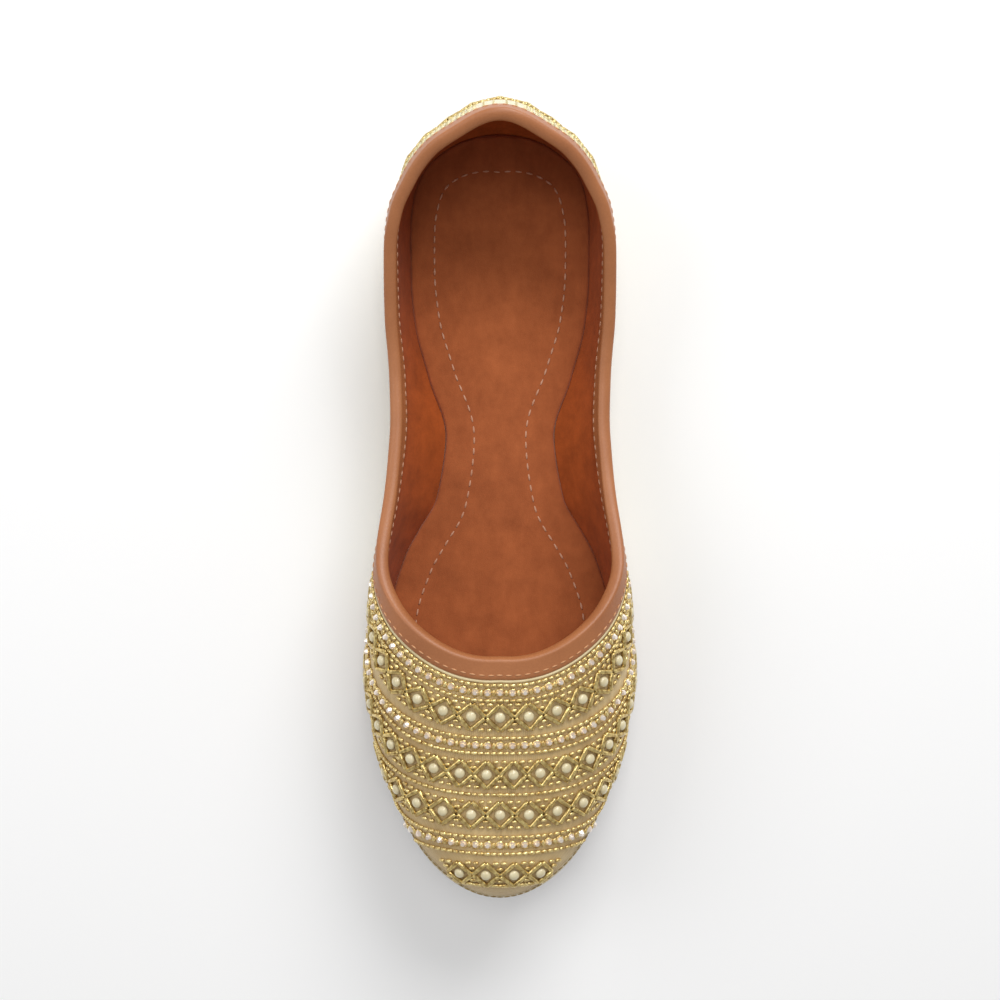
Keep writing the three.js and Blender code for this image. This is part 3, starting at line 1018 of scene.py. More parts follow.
@dataclass(frozen=True)
class Leather:
    """Smooth leather with a fine pebbled grain and rubbed patches."""

    name: str
    light: Rgb
    dark: Rgb
    grain: float = 0.7
    depth: float = 0.1
    roughness: float = 0.48
    metallic: float = 0.0
    wear: float = 45.0
    fineness: float = 3.0

    def material(self) -> bpy.types.Material:
        """Makes the finish.

        Returns:
            The material.
        """
        paint = Paint(self.name)
        pebbles = paint.cells(1 / (self.grain * MM))
        fine = paint.noise(self.fineness / (self.grain * MM))
        wear = paint.noise(self.wear, 5, 0.6)
        tone = (wear * 1.3 - 0.15 + pebbles * 0.25 - 0.1).held()
        return paint.done(
            Base_Color=paint.tint(tone, self.dark, self.light),
            Roughness=(self.roughness + fine * 0.16 - 0.08).held(),
            Metallic=self.metallic,
            Coat_Weight=0.08,
            Coat_Roughness=0.35,
            Normal=paint.relief(pebbles * 0.7 + fine * 0.3, self.depth, 0.7),
        )


@dataclass(frozen=True)
class Suede:
    """Napped leather, mottled where the nap was stroked."""

    name: str
    light: Rgb
    dark: Rgb
    sheen: float = 0.3
    mottle: float = 130.0
    stroke: float = 320.0
    nap: float = 2600.0
    depth: float = 0.18

    def material(self) -> bpy.types.Material:
        """Makes the finish.

        Returns:
            The material.
        """
        paint = Paint(self.name)
        mottle = paint.noise(self.mottle, 5, 0.65)
        stroke = paint.noise(self.stroke, 3, 0.6, (0.5, 1, 1))
        nap = paint.noise(self.nap, 3, 0.7)
        tone = (mottle * 1.1 + stroke * 0.5 - 0.42 + nap * 0.25).held()
        return paint.done(
            Base_Color=paint.tint(tone, self.dark, self.light),
            Roughness=(0.98 - stroke * 0.1).held(),
            Sheen_Weight=self.sheen,
            Sheen_Roughness=0.5,
            Specular_IOR_Level=0.2,
            Normal=paint.relief(nap * 0.6 + stroke * 0.4, self.depth, 0.7),
        )


@dataclass(frozen=True)
class Gilt:
    """Gold of beads or thread, its colour uneven from one bead to the next."""

    name: str
    light: Rgb
    dark: Rgb
    roughness: float = 0.24
    metallic: float = 1.0
    pace: float = 420.0
    depth: float = 0.05

    def material(self) -> bpy.types.Material:
        """Makes the finish.

        Returns:
            The material.
        """
        paint = Paint(self.name)
        tone = (paint.noise(self.pace, 2, 0.7) * 2.2 - 0.6).held()
        rough = paint.noise(self.pace * 3, 2)
        return paint.done(
            Base_Color=paint.tint(tone, self.dark, self.light),
            Roughness=(self.roughness + rough * 0.2 - 0.1).held(),
            Metallic=self.metallic,
            Normal=paint.relief(rough, self.depth, 0.5),
        )


@dataclass(frozen=True)
class Gloss:
    """A bright bead with a clear coat, such as a pearl or a cut stone."""

    name: str
    light: Rgb
    dark: Rgb
    roughness: float = 0.16
    metallic: float = 0.0
    clouds: float = 300.0

    def material(self) -> bpy.types.Material:
        """Makes the finish.

        Returns:
            The material.
        """
        paint = Paint(self.name)
        tone = (paint.noise(self.clouds, 3, 0.6) * 1.8 - 0.4).held()
        return paint.done(
            Base_Color=paint.tint(tone, self.dark, self.light),
            Roughness=(self.roughness + tone * 0.08).held(),
            Metallic=self.metallic,
            Coat_Weight=0.9,
            Coat_Roughness=0.06,
        )


@dataclass(frozen=True)
class Thread:
    """Twisted sewing thread."""

    name: str
    light: Rgb
    dark: Rgb
    metallic: float = 0.0
    twist: float = 2400.0
    fading: float = 260.0
    depth: float = 0.12

    def material(self) -> bpy.types.Material:
        """Makes the finish.

        Returns:
            The material.
        """
        paint = Paint(self.name)
        twist = paint.noise(self.twist, 2, 0.6)
        tone = (paint.noise(self.fading) * 1.2 - 0.1 + twist * 0.4 - 0.2).held()
        return paint.done(
            Base_Color=paint.tint(tone, self.dark, self.light),
            Roughness=(0.6 - twist * 0.2).held(),
            Metallic=self.metallic,
            Sheen_Weight=0.2,
            Normal=paint.relief(twist, self.depth, 0.8),
        )


@dataclass(frozen=True)
class Rubber:
    """Matt rubber with dust in its pores."""

    name: str
    light: Rgb
    dark: Rgb
    dust: float = 90.0
    pores: float = 2200.0
    depth: float = 0.15

    def material(self) -> bpy.types.Material:
        """Makes the finish.

        Returns:
            The material.
        """
        paint = Paint(self.name)
        dust = paint.noise(self.dust, 5, 0.65)
        pores = paint.noise(self.pores, 3, 0.6)
        tone = (dust * 1.3 - 0.25 + pores * 0.3 - 0.1).held()
        return paint.done(
            Base_Color=paint.tint(tone, self.dark, self.light),
            Roughness=(0.86 - dust * 0.16).held(),
            Specular_IOR_Level=0.3,
            Normal=paint.relief(pores, self.depth, 0.6),
        )


class Wardrobe:
    """Every finish of the shoe, made once."""

    def __init__(self) -> None:
        """Makes the finishes."""
        self.quarter = Brocade("cream_brocade", (240, 233, 204), (216, 206, 168)).material()
        self.vamp = Brocade("gold_brocade", (238, 214, 162), (182, 152, 102), 0.6, 0.2, 1.8).material()
        self.lining = Suede("lining_suede", (192, 94, 38), (128, 58, 18), 0.05).material()
        self.binding = Leather("tan_leather", (180, 115, 70), (152, 92, 53), 0.6, 0.07, 0.44).material()
        champagne = Leather("champagne_leather", (224, 212, 186), (178, 166, 140), 0.55, 0.12, 0.4, 0.35)
        self.rand = champagne.material()
        self.suede = Suede("brown_suede", (186, 104, 58), (142, 73, 37)).material()
        self.sole = Leather("peach_leather", (232, 190, 160), (212, 164, 132), 0.8, 0.08, 0.6).material()
        self.rubber = Rubber("grey_rubber", (158, 150, 150), (122, 115, 116)).material()
        self.seed = Gilt("gold_seed_beads", (255, 236, 170), (180, 140, 70), 0.24, 0.65, 800).material()
        self.bugle = Gilt("gold_bugle_beads", (255, 232, 158), (138, 100, 38), 0.16, 0.75, 900).material()
        self.pearl = Gloss("cream_pearl", (232, 221, 184), (204, 188, 146), 0.2).material()
        self.crystal = Gloss("rose_crystal", (255, 247, 234), (240, 216, 198), 0.04, 0.55).material()
        self.pillow = Brocade("cream_pillow", (238, 230, 196), (220, 208, 168), 0.5).material()
        self.zari = Gilt("gold_chain_thread", (236, 222, 170), (178, 160, 104), 0.4, 0.5, 700).material()
        self.cord = Thread("cream_cord", (236, 222, 182), (206, 184, 134)).material()
        self.tan_thread = Thread("tan_thread", (220, 164, 118), (188, 132, 84)).material()
        self.pink_thread = Thread("pale_thread", (216, 168, 138), (180, 124, 92)).material()
        self.dark_thread = Thread("old_gold_thread", (176, 150, 92), (120, 96, 52), 0.3).material()


# Skins


def eased(values: Array, spacing: float, reach: float) -> Array:
    """The values, each averaged with its neighbours.

    Args:
        values: evenly spaced values.
        spacing: how far apart they are.
        reach: how far the average reaches.

    Returns:
        The averages, as many as the values.
    """
    count = int(3 * reach / spacing)
    weight = np.exp(-0.5 * (np.arange(-count, count + 1) * spacing / reach) ** 2)
    return np.convolve(values, weight / weight.sum(), "same")


@dataclass(frozen=True)
class CollarLine:
    """The collar's edge, eased near the throat and the heel as a pulled leather strip is."""

    samples: int = 260
    throat_reach: tuple[float, float] = (38.0, 62.0)
    throat_ease: float = 8.0
    heel_reach: tuple[float, float] = (14.0, 30.0)
    heel_ease: float = 3.0

    def half(self) -> tuple[Array, Array]:
        """The turns and rows of the edge from the throat down one side to the heel.

        Returns:
            The turns, and the rows.
        """
        turn = THROAT * (1 - np.linspace(0, 1, self.samples) ** 2)
        row = LAST.row_under(turn, LAST.collar_height)
        row[0] = 1.0
        line = Trace(turn, row)
        lengths = np.linspace(0, line.length[-1], self.samples)
        turn, row = line.place(lengths)
        turns = np.concatenate([turn[:0:-1], turn, -turn[-2::-1]])
        rows = np.concatenate([2 - row[:0:-1], row, row[-2::-1]])
        throat = 1 - smooth(lengths, *self.throat_reach)
        heel = 1 - smooth(lengths[-1] - lengths, *self.heel_reach)
        middle = slice(self.samples - 1, 2 * self.samples - 1)
        parts = []
        for values in (turns, rows):
            drawn = values[middle]
            tight = eased(values, lengths[1], self.heel_ease)[middle]
            loose = eased(values, lengths[1], self.throat_ease)[middle]
            parts.append(drawn + (loose - drawn) * throat + (tight - drawn) * heel)
        return parts[0], parts[1]

    def loop(self) -> Trace:
        """The edge from the throat down one side, round the heel and back, as one closed line."""
        turn, row = self.half()
        turn[-1] = 0.0
        return Trace(np.concatenate([turn, -turn[-2::-1]]), np.concatenate([row, row[-2::-1]]))

    def over_throat(self) -> Trace:
        """The edge from one side over the throat to the other, measured from the throat."""
        turn, row = self.half()
        turns = np.concatenate([turn[::-1], turn[1:]])
        return Trace(turns, np.concatenate([row[::-1], 2 - row[1:]])).centred()


def even_loop(trace: Trace, count: int) -> Array:
    """Even lengths round a closed line, without its last point."""
    return np.linspace(trace.length[0], trace.length[-1], count, endpoint=False)


@dataclass
class Upper:
    """The quarters, the vamp and the lining, all cut from the last's skin."""

    wall: float = 1.8
    cloth: float = 0.9
    fold_depth: float = 0.9
    seam_overlap: float = 1.0
    vamp_lift: float = 0.28
    puff: float = 0.32
    roundness: float = 0.6
    foot_fade: tuple[float, float] = (0.0, 0.06)
    edge_fade: tuple[float, float] = (0.02, 0.1)
    lines: int = 15
    lining_gap: float = 0.35
    lining_wall: float = 0.4
    quarter_cloth: tuple[float, float] = (280.0, 40.0)
    vamp_cloth: tuple[float, float] = (252.0, 90.0)

    def _edge_row(self, turn: Array) -> Array:
        """The row of the upper's top edge: just under the collar's fold, or the spine ahead of the throat."""
        under = LAST.row_under(np.abs(turn), lambda x: LAST.collar_height(x) - self.fold_depth)
        return np.where(np.abs(turn) >= THROAT, 1.0, under)

    def quarter(self) -> bpy.types.Object:
        """The cream cloth round the heel, quilted between the lines of stitches.

        Returns:
            The piece.
        """
        rows, columns, first_guess, passes = 8 * self.lines, 240, 0.6, 8
        share = np.repeat(np.linspace(0, 1, rows)[:, None], columns, axis=1)
        swing = np.linspace(-1, 1, columns)[None]
        turn = np.repeat(swing * first_guess, rows, axis=0)
        row = np.zeros_like(turn)
        for _ in range(passes):
            foot = LAST.point(np.abs(turn), np.zeros_like(turn))[..., 2]
            edge = LAST.point(np.abs(turn), self._edge_row(turn))[..., 2]
            target = foot + (edge - foot) * share
            row = LAST.row_under(np.abs(turn), lambda x: target)
            turn = LAST.seam_turn(row, self.seam_overlap) * swing
        quilt = np.abs(np.sin(math.pi * (share * (self.lines + 1)))) ** self.roundness
        fade = smooth(share, *self.foot_fade) * smooth(1 - share, *self.edge_fade)
        point = LAST.lifted(turn, row, self.puff * quilt * fade)
        cloth = np.stack([turn, share], -1) * np.array(self.quarter_cloth)
        piece = Bench.grid("quarters", point, cloth)
        Bench.wall(piece, self.cloth + self.puff)
        return Bench.soften(piece, 60)

    def _both_sides(self, name: str, turn: Array, row: Array, height: float, wall: float) -> bpy.types.Object:
        """A sheet over one side of the last and its mirror, joined at the spine and given a wall.

        Args:
            name: the piece's name.
            turn: a grid of turns.
            row: the grid's rows.
            height: how far over the skin the sheet's outer face lies.
            wall: how thick it is.

        Returns:
            The piece.
        """
        halves = []
        for side in (1, -1):
            point = LAST.lifted(turn, row if side > 0 else 2 - row, height)
            cloth = np.stack([at_of(turn), side * row], -1) * np.array(self.vamp_cloth)
            halves.append(Bench.grid(f"{name}_{side}", point[::side], cloth[::side]))
        piece = Bench.weld(Bench.join(halves, name), outward=False)
        return Bench.soften(Bench.wall(piece, wall), 60)

    def vamp(self) -> bpy.types.Object:
        """The gold cloth over the forefoot.

        Returns:
            The piece.
        """
        rows, back, front = 56, 56, 110
        first_guess, crowding, passes = 0.5, 1.7, 6
        share = np.linspace(0, 1, rows)[:, None]
        start = LAST.seam_turn(np.linspace(0, first_guess, rows))[:, None]
        behind = np.linspace(1, 0, back)[None] ** crowding
        turn = THROAT - (THROAT - start) * behind
        for _ in range(passes):
            row = np.stack([self._edge_row(t) for t in turn]) * share
            first = LAST.seam_turn(row[:, 0])[:, None]
            turn = THROAT - (THROAT - first) * behind
        ahead = THROAT + (1 - THROAT) * np.linspace(0, 1, front)[None, 1:]
        turns = np.concatenate([turn, np.repeat(ahead, rows, axis=0)], 1)
        rows_there = np.concatenate([row, np.repeat(share, front - 1, axis=1)], 1)
        return self._both_sides("vamp", turns, rows_there, self.vamp_lift, self.cloth)

    def lining(self) -> bpy.types.Object:
        """The brown leather inside.

        Returns:
            The piece.
        """
        rows, back, front = 40, 90, 50
        behind = THROAT * (1 - np.linspace(1, 0, back) ** 2)
        ahead = THROAT + (1 - THROAT) * np.linspace(0, 1, front)[1:]
        turn = np.concatenate([behind, ahead])
        row = self._edge_row(turn)[None] * np.linspace(0, 1, rows)[:, None]
        height = self.lining_gap - self.wall
        return self._both_sides("lining", np.repeat(turn[None], rows, axis=0), row, height, self.lining_wall)

    def build(self, wardrobe: Wardrobe) -> None:
        """Builds and dresses the skins.

        Args:
            wardrobe: the finishes.
        """
        Bench.hand_over(self.quarter(), wardrobe.quarter, Slot.FABRIC, "upper")
        Bench.hand_over(self.vamp(), wardrobe.vamp, Slot.FABRIC)
        Bench.hand_over(self.lining(), wardrobe.lining, Slot.SUEDE)


@dataclass
class CollarBinding:
    """The leather strip folded over the collar, its cord and its stitches."""

    width: float = 5.9
    leather: float = 1.1
    wall: float = 1.8
    cord_gap: float = 0.35
    cord_height: float = 0.35
    cord_halves: tuple[float, float] = (0.5, 0.45)
    stitch_drop: float = 4.2
    stitch_pitch: float = 2.8
    stitch_size: tuple[float, float, float] = (1.0, 0.75, 0.8)
    proud: float = 0.02

    def section(self) -> list[tuple[float, float, float]]:
        """The strip's outline across it, from its outer foot over the collar to its inner foot and back.

        Returns:
            For each corner, how far it is down from the collar's edge, over the skin, and above the edge.
        """
        foot, inner = self.width, -self.wall - self.leather
        outer_foot = [(foot - 0.4, -0.15, 0), (foot, 0.25, 0), (foot - 0.15, 0.75, 0), (foot - 0.7, 1.05, 0)]
        outside = [(down, self.leather, 0) for down in (4.4, 3.4, 2.4, 1.2, 0.3)]
        half = self.leather + self.wall / 2
        angles = np.linspace(0.15, math.pi - 0.15, 11)
        crest = [(0, half * math.cos(a) - self.wall / 2, self.leather * math.sin(a)) for a in angles]
        inside = [(down, inner, 0) for down in (0.6, 2.0, 3.4, 4.6)]
        inner_foot = [(foot - 0.3, inner + 0.15, 0), (foot, inner + 0.5, 0), (foot - 0.2, 0.1 - self.wall, 0)]
        return outer_foot + outside + crest + inside + inner_foot + outer_foot[:1]

    def fold(self, edge: Trace) -> bpy.types.Object:
        """The folded strip as one closed band.

        Args:
            edge: the collar's edge.

        Returns:
            The piece.
        """
        lengths = even_loop(edge, 460)
        turn, row = edge.place(lengths)
        down = -edge.seats(lengths).across
        rings = []
        for distance, height, above in self.section():
            place = LAST.walk(turn, row, down, distance) if distance else (turn, row)
            rings.append(LAST.lifted(*place, height) - down * above)
        points = np.stack(rings)
        points = np.concatenate([points, points[:, :1]], 1)
        return Bench.soften(Bench.weld(Bench.grid("collar_binding_fold", points)), 70)

    def build(self, wardrobe: Wardrobe) -> None:
        """Builds and dresses the binding.

        Args:
            wardrobe: the finishes.
        """
        edge = CollarLine().loop()
        Bench.hand_over(self.fold(edge), wardrobe.binding, Slot.BINDING, "collar_binding")
        foot = edge.shifted(-self.width - self.cord_gap)
        seats = foot.seats(even_loop(foot, 420)).lifted(self.cord_height)
        cord = Bench.cord("binding_piping", seats, *self.cord_halves, closed=True)
        Bench.hand_over(cord, wardrobe.cord, Slot.FABRIC)
        line = edge.shifted(-self.stitch_drop)
        outer = line.seats(even_loop(line, int(line.length[-1] / self.stitch_pitch)))
        inner = Seats(outer.point, outer.along, -outer.across, -outer.out)
        for name, seats, height, thread in (
            ("binding_stitches", outer, self.leather, wardrobe.tan_thread),
            ("binding_inner_stitches", inner, self.wall + self.leather, wardrobe.pink_thread),
        ):
            seats = seats.lifted(height + self.proud)
            Bench.sew(name, Proto.stitch(), seats, self.stitch_size, thread, Slot.BINDING)


@dataclass
class ToeRand:
    """The metallic leather band over the foot of the vamp, round the toe."""

    start: float = 155.0
    lift: float = 1.1
    leather: float = 0.8
    edge_drop: float = 0.5
    drop_rows: tuple[float, float] = (0.5, 1.0)
    cloth: tuple[float, float] = (280.0, 60.0)
    seam_gap: float = 0.35
    seam_start: float = 1.0
    seam_pitch: float = 2.1
    seam_height: float = 0.62
    seam_zigzag: float = 0.16
    stitch_size: tuple[float, float, float] = (1.15, 1.2, 1.3)

    def build(self, wardrobe: Wardrobe) -> None:
        """Builds and dresses the rand and its seam.

        Args:
            wardrobe: the finishes.
        """
        rows, columns = 14, 300
        first = float(turn_of(np.array(self.start / LAST.length)))
        turn = np.linspace(first, 2 - first, columns)
        top = LAST.row_under(np.where(turn > 1, 2 - turn, turn), LAST.rand_top)
        share = np.repeat(np.linspace(0, 1, rows)[:, None], columns, axis=1)
        turns = np.repeat(turn[None], rows, axis=0)
        drop = self.edge_drop * (1 - np.sqrt(np.sin(math.pi * share))) * smooth(share, *self.drop_rows)
        point = LAST.lifted(turns, top * share, self.lift - drop)
        cloth = np.stack([turns, top * share], -1) * np.array(self.cloth)
        piece = Bench.wall(Bench.grid("toe_rand_band", point, cloth), self.leather)
        Bench.hand_over(Bench.soften(piece, 60), wardrobe.rand, Slot.RAND, "toe_rand")
        line = Trace(turn, top).shifted(self.seam_gap)
        seats = line.seats(line.paces(self.seam_start, self.seam_pitch)).lifted(self.seam_height)
        chain = seats.zigzag(self.seam_zigzag)
        Bench.sew("rand_seam_chain", Proto.stitch(), chain, self.stitch_size, wardrobe.dark_thread)


# Boards underneath


def below(level: Level, drop: float) -> Level:
    """A level that far below another one, each a height for x."""
    return lambda x: level(x) - drop


@dataclass
class Board:
    """A board whose outline follows the foot line, with an edge in steps of inset and height."""

    probe: float = 5e-4

    def outline(self, turn: Array, offset: Array | float) -> tuple[Array, Array]:
        """The foot line moved sideways.

        Args:
            turn: the stations.
            offset: how far outwards, the same all along or one for each station.

        Returns:
            The plan points, and the outward plan directions.
        """
        foot = np.zeros_like(turn)
        ahead, behind = LAST.point(turn + self.probe, foot), LAST.point(turn - self.probe, foot)
        way = unit((ahead - behind)[..., :2])
        out = np.stack([-way[..., 1], way[..., 0]], -1)
        return LAST.point(turn, foot)[..., :2] + out * np.asarray(offset, float)[..., None], out

    def build(
        self,
        name: str,
        turns: Array,
        offset: float,
        top: Callable[[Array, Array], Array],
        under: Level,
        steps: Sequence[tuple[float, Level]],
        inner: Sequence[float],
    ) -> bpy.types.Object:
        """One closed board.

        Args:
            name: the piece's name.
            turns: its stations from heel to toe.
            offset: how far outside the foot line its edge is.
            top: the height of its top for x and the share of the half width.
            under: the height of its underside for x.
            steps: its edge from the top's rim to the underside's rim, each an inset and a height for x.
            inner: shares of the half width from the middle to just inside the rim.

        Returns:
            The piece.
        """
        plan, out = self.outline(turns, offset)
        x, y = (plan - out * steps[0][0]).T
        columns = [np.stack([x, y * share, top(x, np.full(len(turns), share))], -1) for share in inner]
        for inset, height in steps:
            x, y = (plan - out * inset).T
            columns.append(np.stack([x, y, height(x)], -1))
        columns += [np.stack([x, y * share, under(x)], -1) for share in reversed(inner)]
        half = np.stack(columns)
        mirror = half[::-1] * np.array([1, -1, 1])
        loop = np.concatenate([half, mirror])
        return Bench.soften(Bench.weld(Bench.grid(name, loop)), 42)


@dataclass
class Bottom:
    """The sole with its heel rim, the insole, and the rubber under them."""

    rim_ends: float = 54.18
    rim_step: float = 2e-4
    rim_slack: float = 0.02
    rim_width: float = 4.0
    rim_relief: float = 0.3
    sole_margin: float = 1.0
    footbed: float = 2.3
    footbed_margin: float = -1.4
    footbed_edge: float = 2.0
    crown: float = 0.35
    crown_drop: float = 0.2
    stitches_end_at: float = 0.8
    stitch_start: float = 0.5
    stitch_pitch: float = 3.6
    stitch_reach: float = 1.2
    stitch_rise: float = 0.06
    stitch_size: tuple[float, float, float] = (1.25, 0.95, 0.9)

    def sole(self) -> bpy.types.Object:
        """The peach sole board, with its rim down round the heel.

        Returns:
            The piece.
        """
        end = float(turn_of(np.array(self.rim_ends / LAST.length)))
        turns = np.concatenate([np.linspace(0, end, 60), [end + self.rim_step], np.linspace(end, 1, 120)[1:]])

        def low(x: Array) -> Array:
            """The edge's lowest line."""
            rim = LAST.pad_under(x) + self.rim_relief
            return np.where(x <= self.rim_ends + self.rim_slack, rim, LAST.board_under(x))

        def top(x: Array, share: Array) -> Array:
            """The board's top, which is flat across."""
            return LAST.board_top(x)

        from_top = ((0.5, 0.0), (0.12, 0.14), (0.0, 0.5), (0.0, 1.4), (0.16, 1.55), (0.0, 1.7))
        from_low = ((0.0, 0.6), (0.15, 0.18), (0.6, 0.0), (self.rim_width, 0.0))
        steps = [(inset, below(LAST.board_top, drop)) for inset, drop in from_top]
        steps += [(inset, below(low, -rise)) for inset, rise in from_low]
        steps.append((self.rim_width, LAST.board_under))
        return Board().build("sole_board", turns, self.sole_margin, top, LAST.board_under, steps, (0, 0.5))

    def insole(self) -> bpy.types.Object:
        """The suede footbed, a little crowned and rolled at its edge.

        Returns:
            The piece.
        """

        def level(x: Array) -> Array:
            """The footbed's top at its edge."""
            return LAST.board_top(x) + self.footbed

        def top(x: Array, share: Array) -> Array:
            """The footbed's crowned top."""
            return level(x) + self.crown * (1 - share**2) - self.crown_drop

        roll = ((0.9, 0.12), (0.35, 0.4), (0.08, 0.9), (0.0, 1.5), (0.6, self.footbed_edge))
        steps = [(inset, below(level, drop)) for inset, drop in roll]
        shares = (0, 0.2, 0.4, 0.6, 0.8, 0.93)
        turns = np.linspace(0.0, 1.0, 160)
        under = below(level, self.footbed_edge)
        return Board().build("insole_suede_board", turns, self.footbed_margin, top, under, steps, shares)

    def insole_seats(self) -> Seats:
        """Places of the stitches inside the insole's edge.

        Returns:
            The places.
        """
        turn = np.linspace(0, turn_of(np.array(self.stitches_end_at)), 400)
        plan, out = Board().outline(turn, -STITCH_INSET(turn))
        both = np.concatenate([plan[::-1], plan[1:] * np.array([1, -1])])
        steps = np.linalg.norm(np.diff(both, axis=0), axis=1)
        length = np.concatenate([[0], np.cumsum(steps)])
        places = np.arange(self.stitch_start, length[-1], self.stitch_pitch)

        def read(at: Array) -> Array:
            """Points on the insole at lengths along the line."""
            x, y = np.interp(at, length, both[:, 0]), np.interp(at, length, both[:, 1])
            return np.stack([x, y, LAST.board_top(x) + self.footbed + self.stitch_rise], -1)

        start, end = read(places - self.stitch_reach), read(places + self.stitch_reach)
        return Seats.between(start, end, np.broadcast_to([0.0, 0.0, 1.0], start.shape))

    def build(self, wardrobe: Wardrobe) -> None:
        """Builds and dresses the boards, and dresses the CAD's rubber.

        Args:
            wardrobe: the finishes.
        """
        Bench.hand_over(self.sole(), wardrobe.sole, Slot.SOLE, "sole")
        Bench.hand_over(self.insole(), wardrobe.suede, Slot.SUEDE, "insole")
        thread, size = wardrobe.pink_thread, self.stitch_size
        Bench.sew("insole_stitches", Proto.stitch(), self.insole_seats(), size, thread, Slot.SUEDE)
        for name in ("heel_pad", "tread"):
            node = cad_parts[name]
            node.data.materials.clear()
            node.data.materials.append(wardrobe.rubber)
            log.info("%s: kept from the CAD", name)


# Beads and stitches


class Proto:
    """The small shapes that are copied, each modelled once. They are drawn in mm with x along their line."""

    @staticmethod
    def _stretched(scale: Sequence[float], turn: float = 0.0) -> bpy.types.Object:
        """The new primitive, turned flat by an angle and stretched in edit mode.

        Args:
            scale: the factors along x, y and z.
            turn: the angle about z, in radians.

        Returns:
            The piece.
        """
        piece = bpy.context.object
        bpy.ops.object.mode_set(mode="EDIT")
        bpy.ops.mesh.select_all(action="SELECT")
        if turn:
            bpy.ops.transform.rotate(value=turn, orient_axis="Z", center_override=(0, 0, 0))
        bpy.ops.transform.resize(value=scale)
        bpy.ops.object.mode_set(mode="OBJECT")
        return piece

    @staticmethod
    def _ball(segments: int, rings: int, scale: Sequence[float]) -> Shape:
        """A ball 1 mm across, stretched."""
        bpy.ops.object.select_all(action="DESELECT")
        bpy.ops.mesh.primitive_uv_sphere_add(segments=segments, ring_count=rings, radius=0.5 * MM)
        return Bench.take(Proto._stretched(scale))

    @staticmethod
    def _tube(sides: int, shoulder: float) -> Shape:
        """A tube along x, 1 mm long and 1 mm across.

        Args:
            sides: how many faces go round it.
            shoulder: how far its ends are rounded, in mm.

        Returns:
            The shape.
        """
        bpy.ops.object.select_all(action="DESELECT")
        lying = (0, math.pi / 2, 0)
        bpy.ops.mesh.primitive_cylinder_add(vertices=sides, radius=0.5 * MM, depth=1.0 * MM, rotation=lying)
        piece = bpy.context.object
        Bench.activate(piece)
        bpy.ops.object.transform_apply(location=False, rotation=True, scale=False)
        settings = {"segments": 1, "limit_method": "ANGLE", "angle_limit": math.radians(60)}
        Bench.modify(piece, "BEVEL", width=shoulder * MM, **settings)
        return Bench.take(piece)

    @staticmethod
    def stitch() -> Shape:
        """A plump stitch, 2 mm long."""
        return Proto._ball(6, 4, (2.1, 0.7, 0.55))

    @staticmethod
    def dome() -> Shape:
        """A pearl, 1 mm across, a little flattened."""
        return Proto._ball(12, 8, (1.0, 1.0, 0.85))

    @staticmethod
    def seed() -> Shape:
        """A short cut tube with round shoulders."""
        return Proto._tube(7, 0.17)

    @staticmethod
    def bugle() -> Shape:
        """A glass tube bead with crisp ends, to be drawn out long."""
        return Proto._tube(8, 0.06)

    @staticmethod
    def stone() -> Shape:
        """A cut stone, 1 mm across, with a table and a ring of facets.

        Returns:
            The shape.
        """
        base, table, height = 0.5 * MM, 0.26 * MM, 0.3 * MM
        bpy.ops.object.select_all(action="DESELECT")
        place = (0, 0, height / 2)
        bpy.ops.mesh.primitive_cone_add(vertices=8, radius1=base, radius2=table, depth=height, location=place)
        piece = bpy.context.object
        Bench.activate(piece)
        bpy.ops.object.transform_apply(location=True, rotation=False, scale=False)
        return Bench.take(piece)

    @staticmethod
    def pillow() -> Shape:
        """A low padded square, 1 mm from corner to corner, with its corners along x and y.

        Returns:
            The shape.
        """
        half, height, thickness = 0.5 * MM, 0.12 * MM, 0.05
        bpy.ops.object.select_all(action="DESELECT")
        bpy.ops.mesh.primitive_grid_add(x_subdivisions=4, y_subdivisions=4, size=0.7071 * MM)
        piece = Proto._stretched((1.0, 1.0, 1.0), math.pi / 4)
        for v in piece.data.vertices:
            u, w = abs(v.co.x + v.co.y) / half, abs(v.co.x - v.co.y) / half
            v.co.z = height * (1 - min(u, 1.0) ** 2) * (1 - min(w, 1.0) ** 2)
        Bench.wall(piece, thickness)
        return Bench.take(piece)


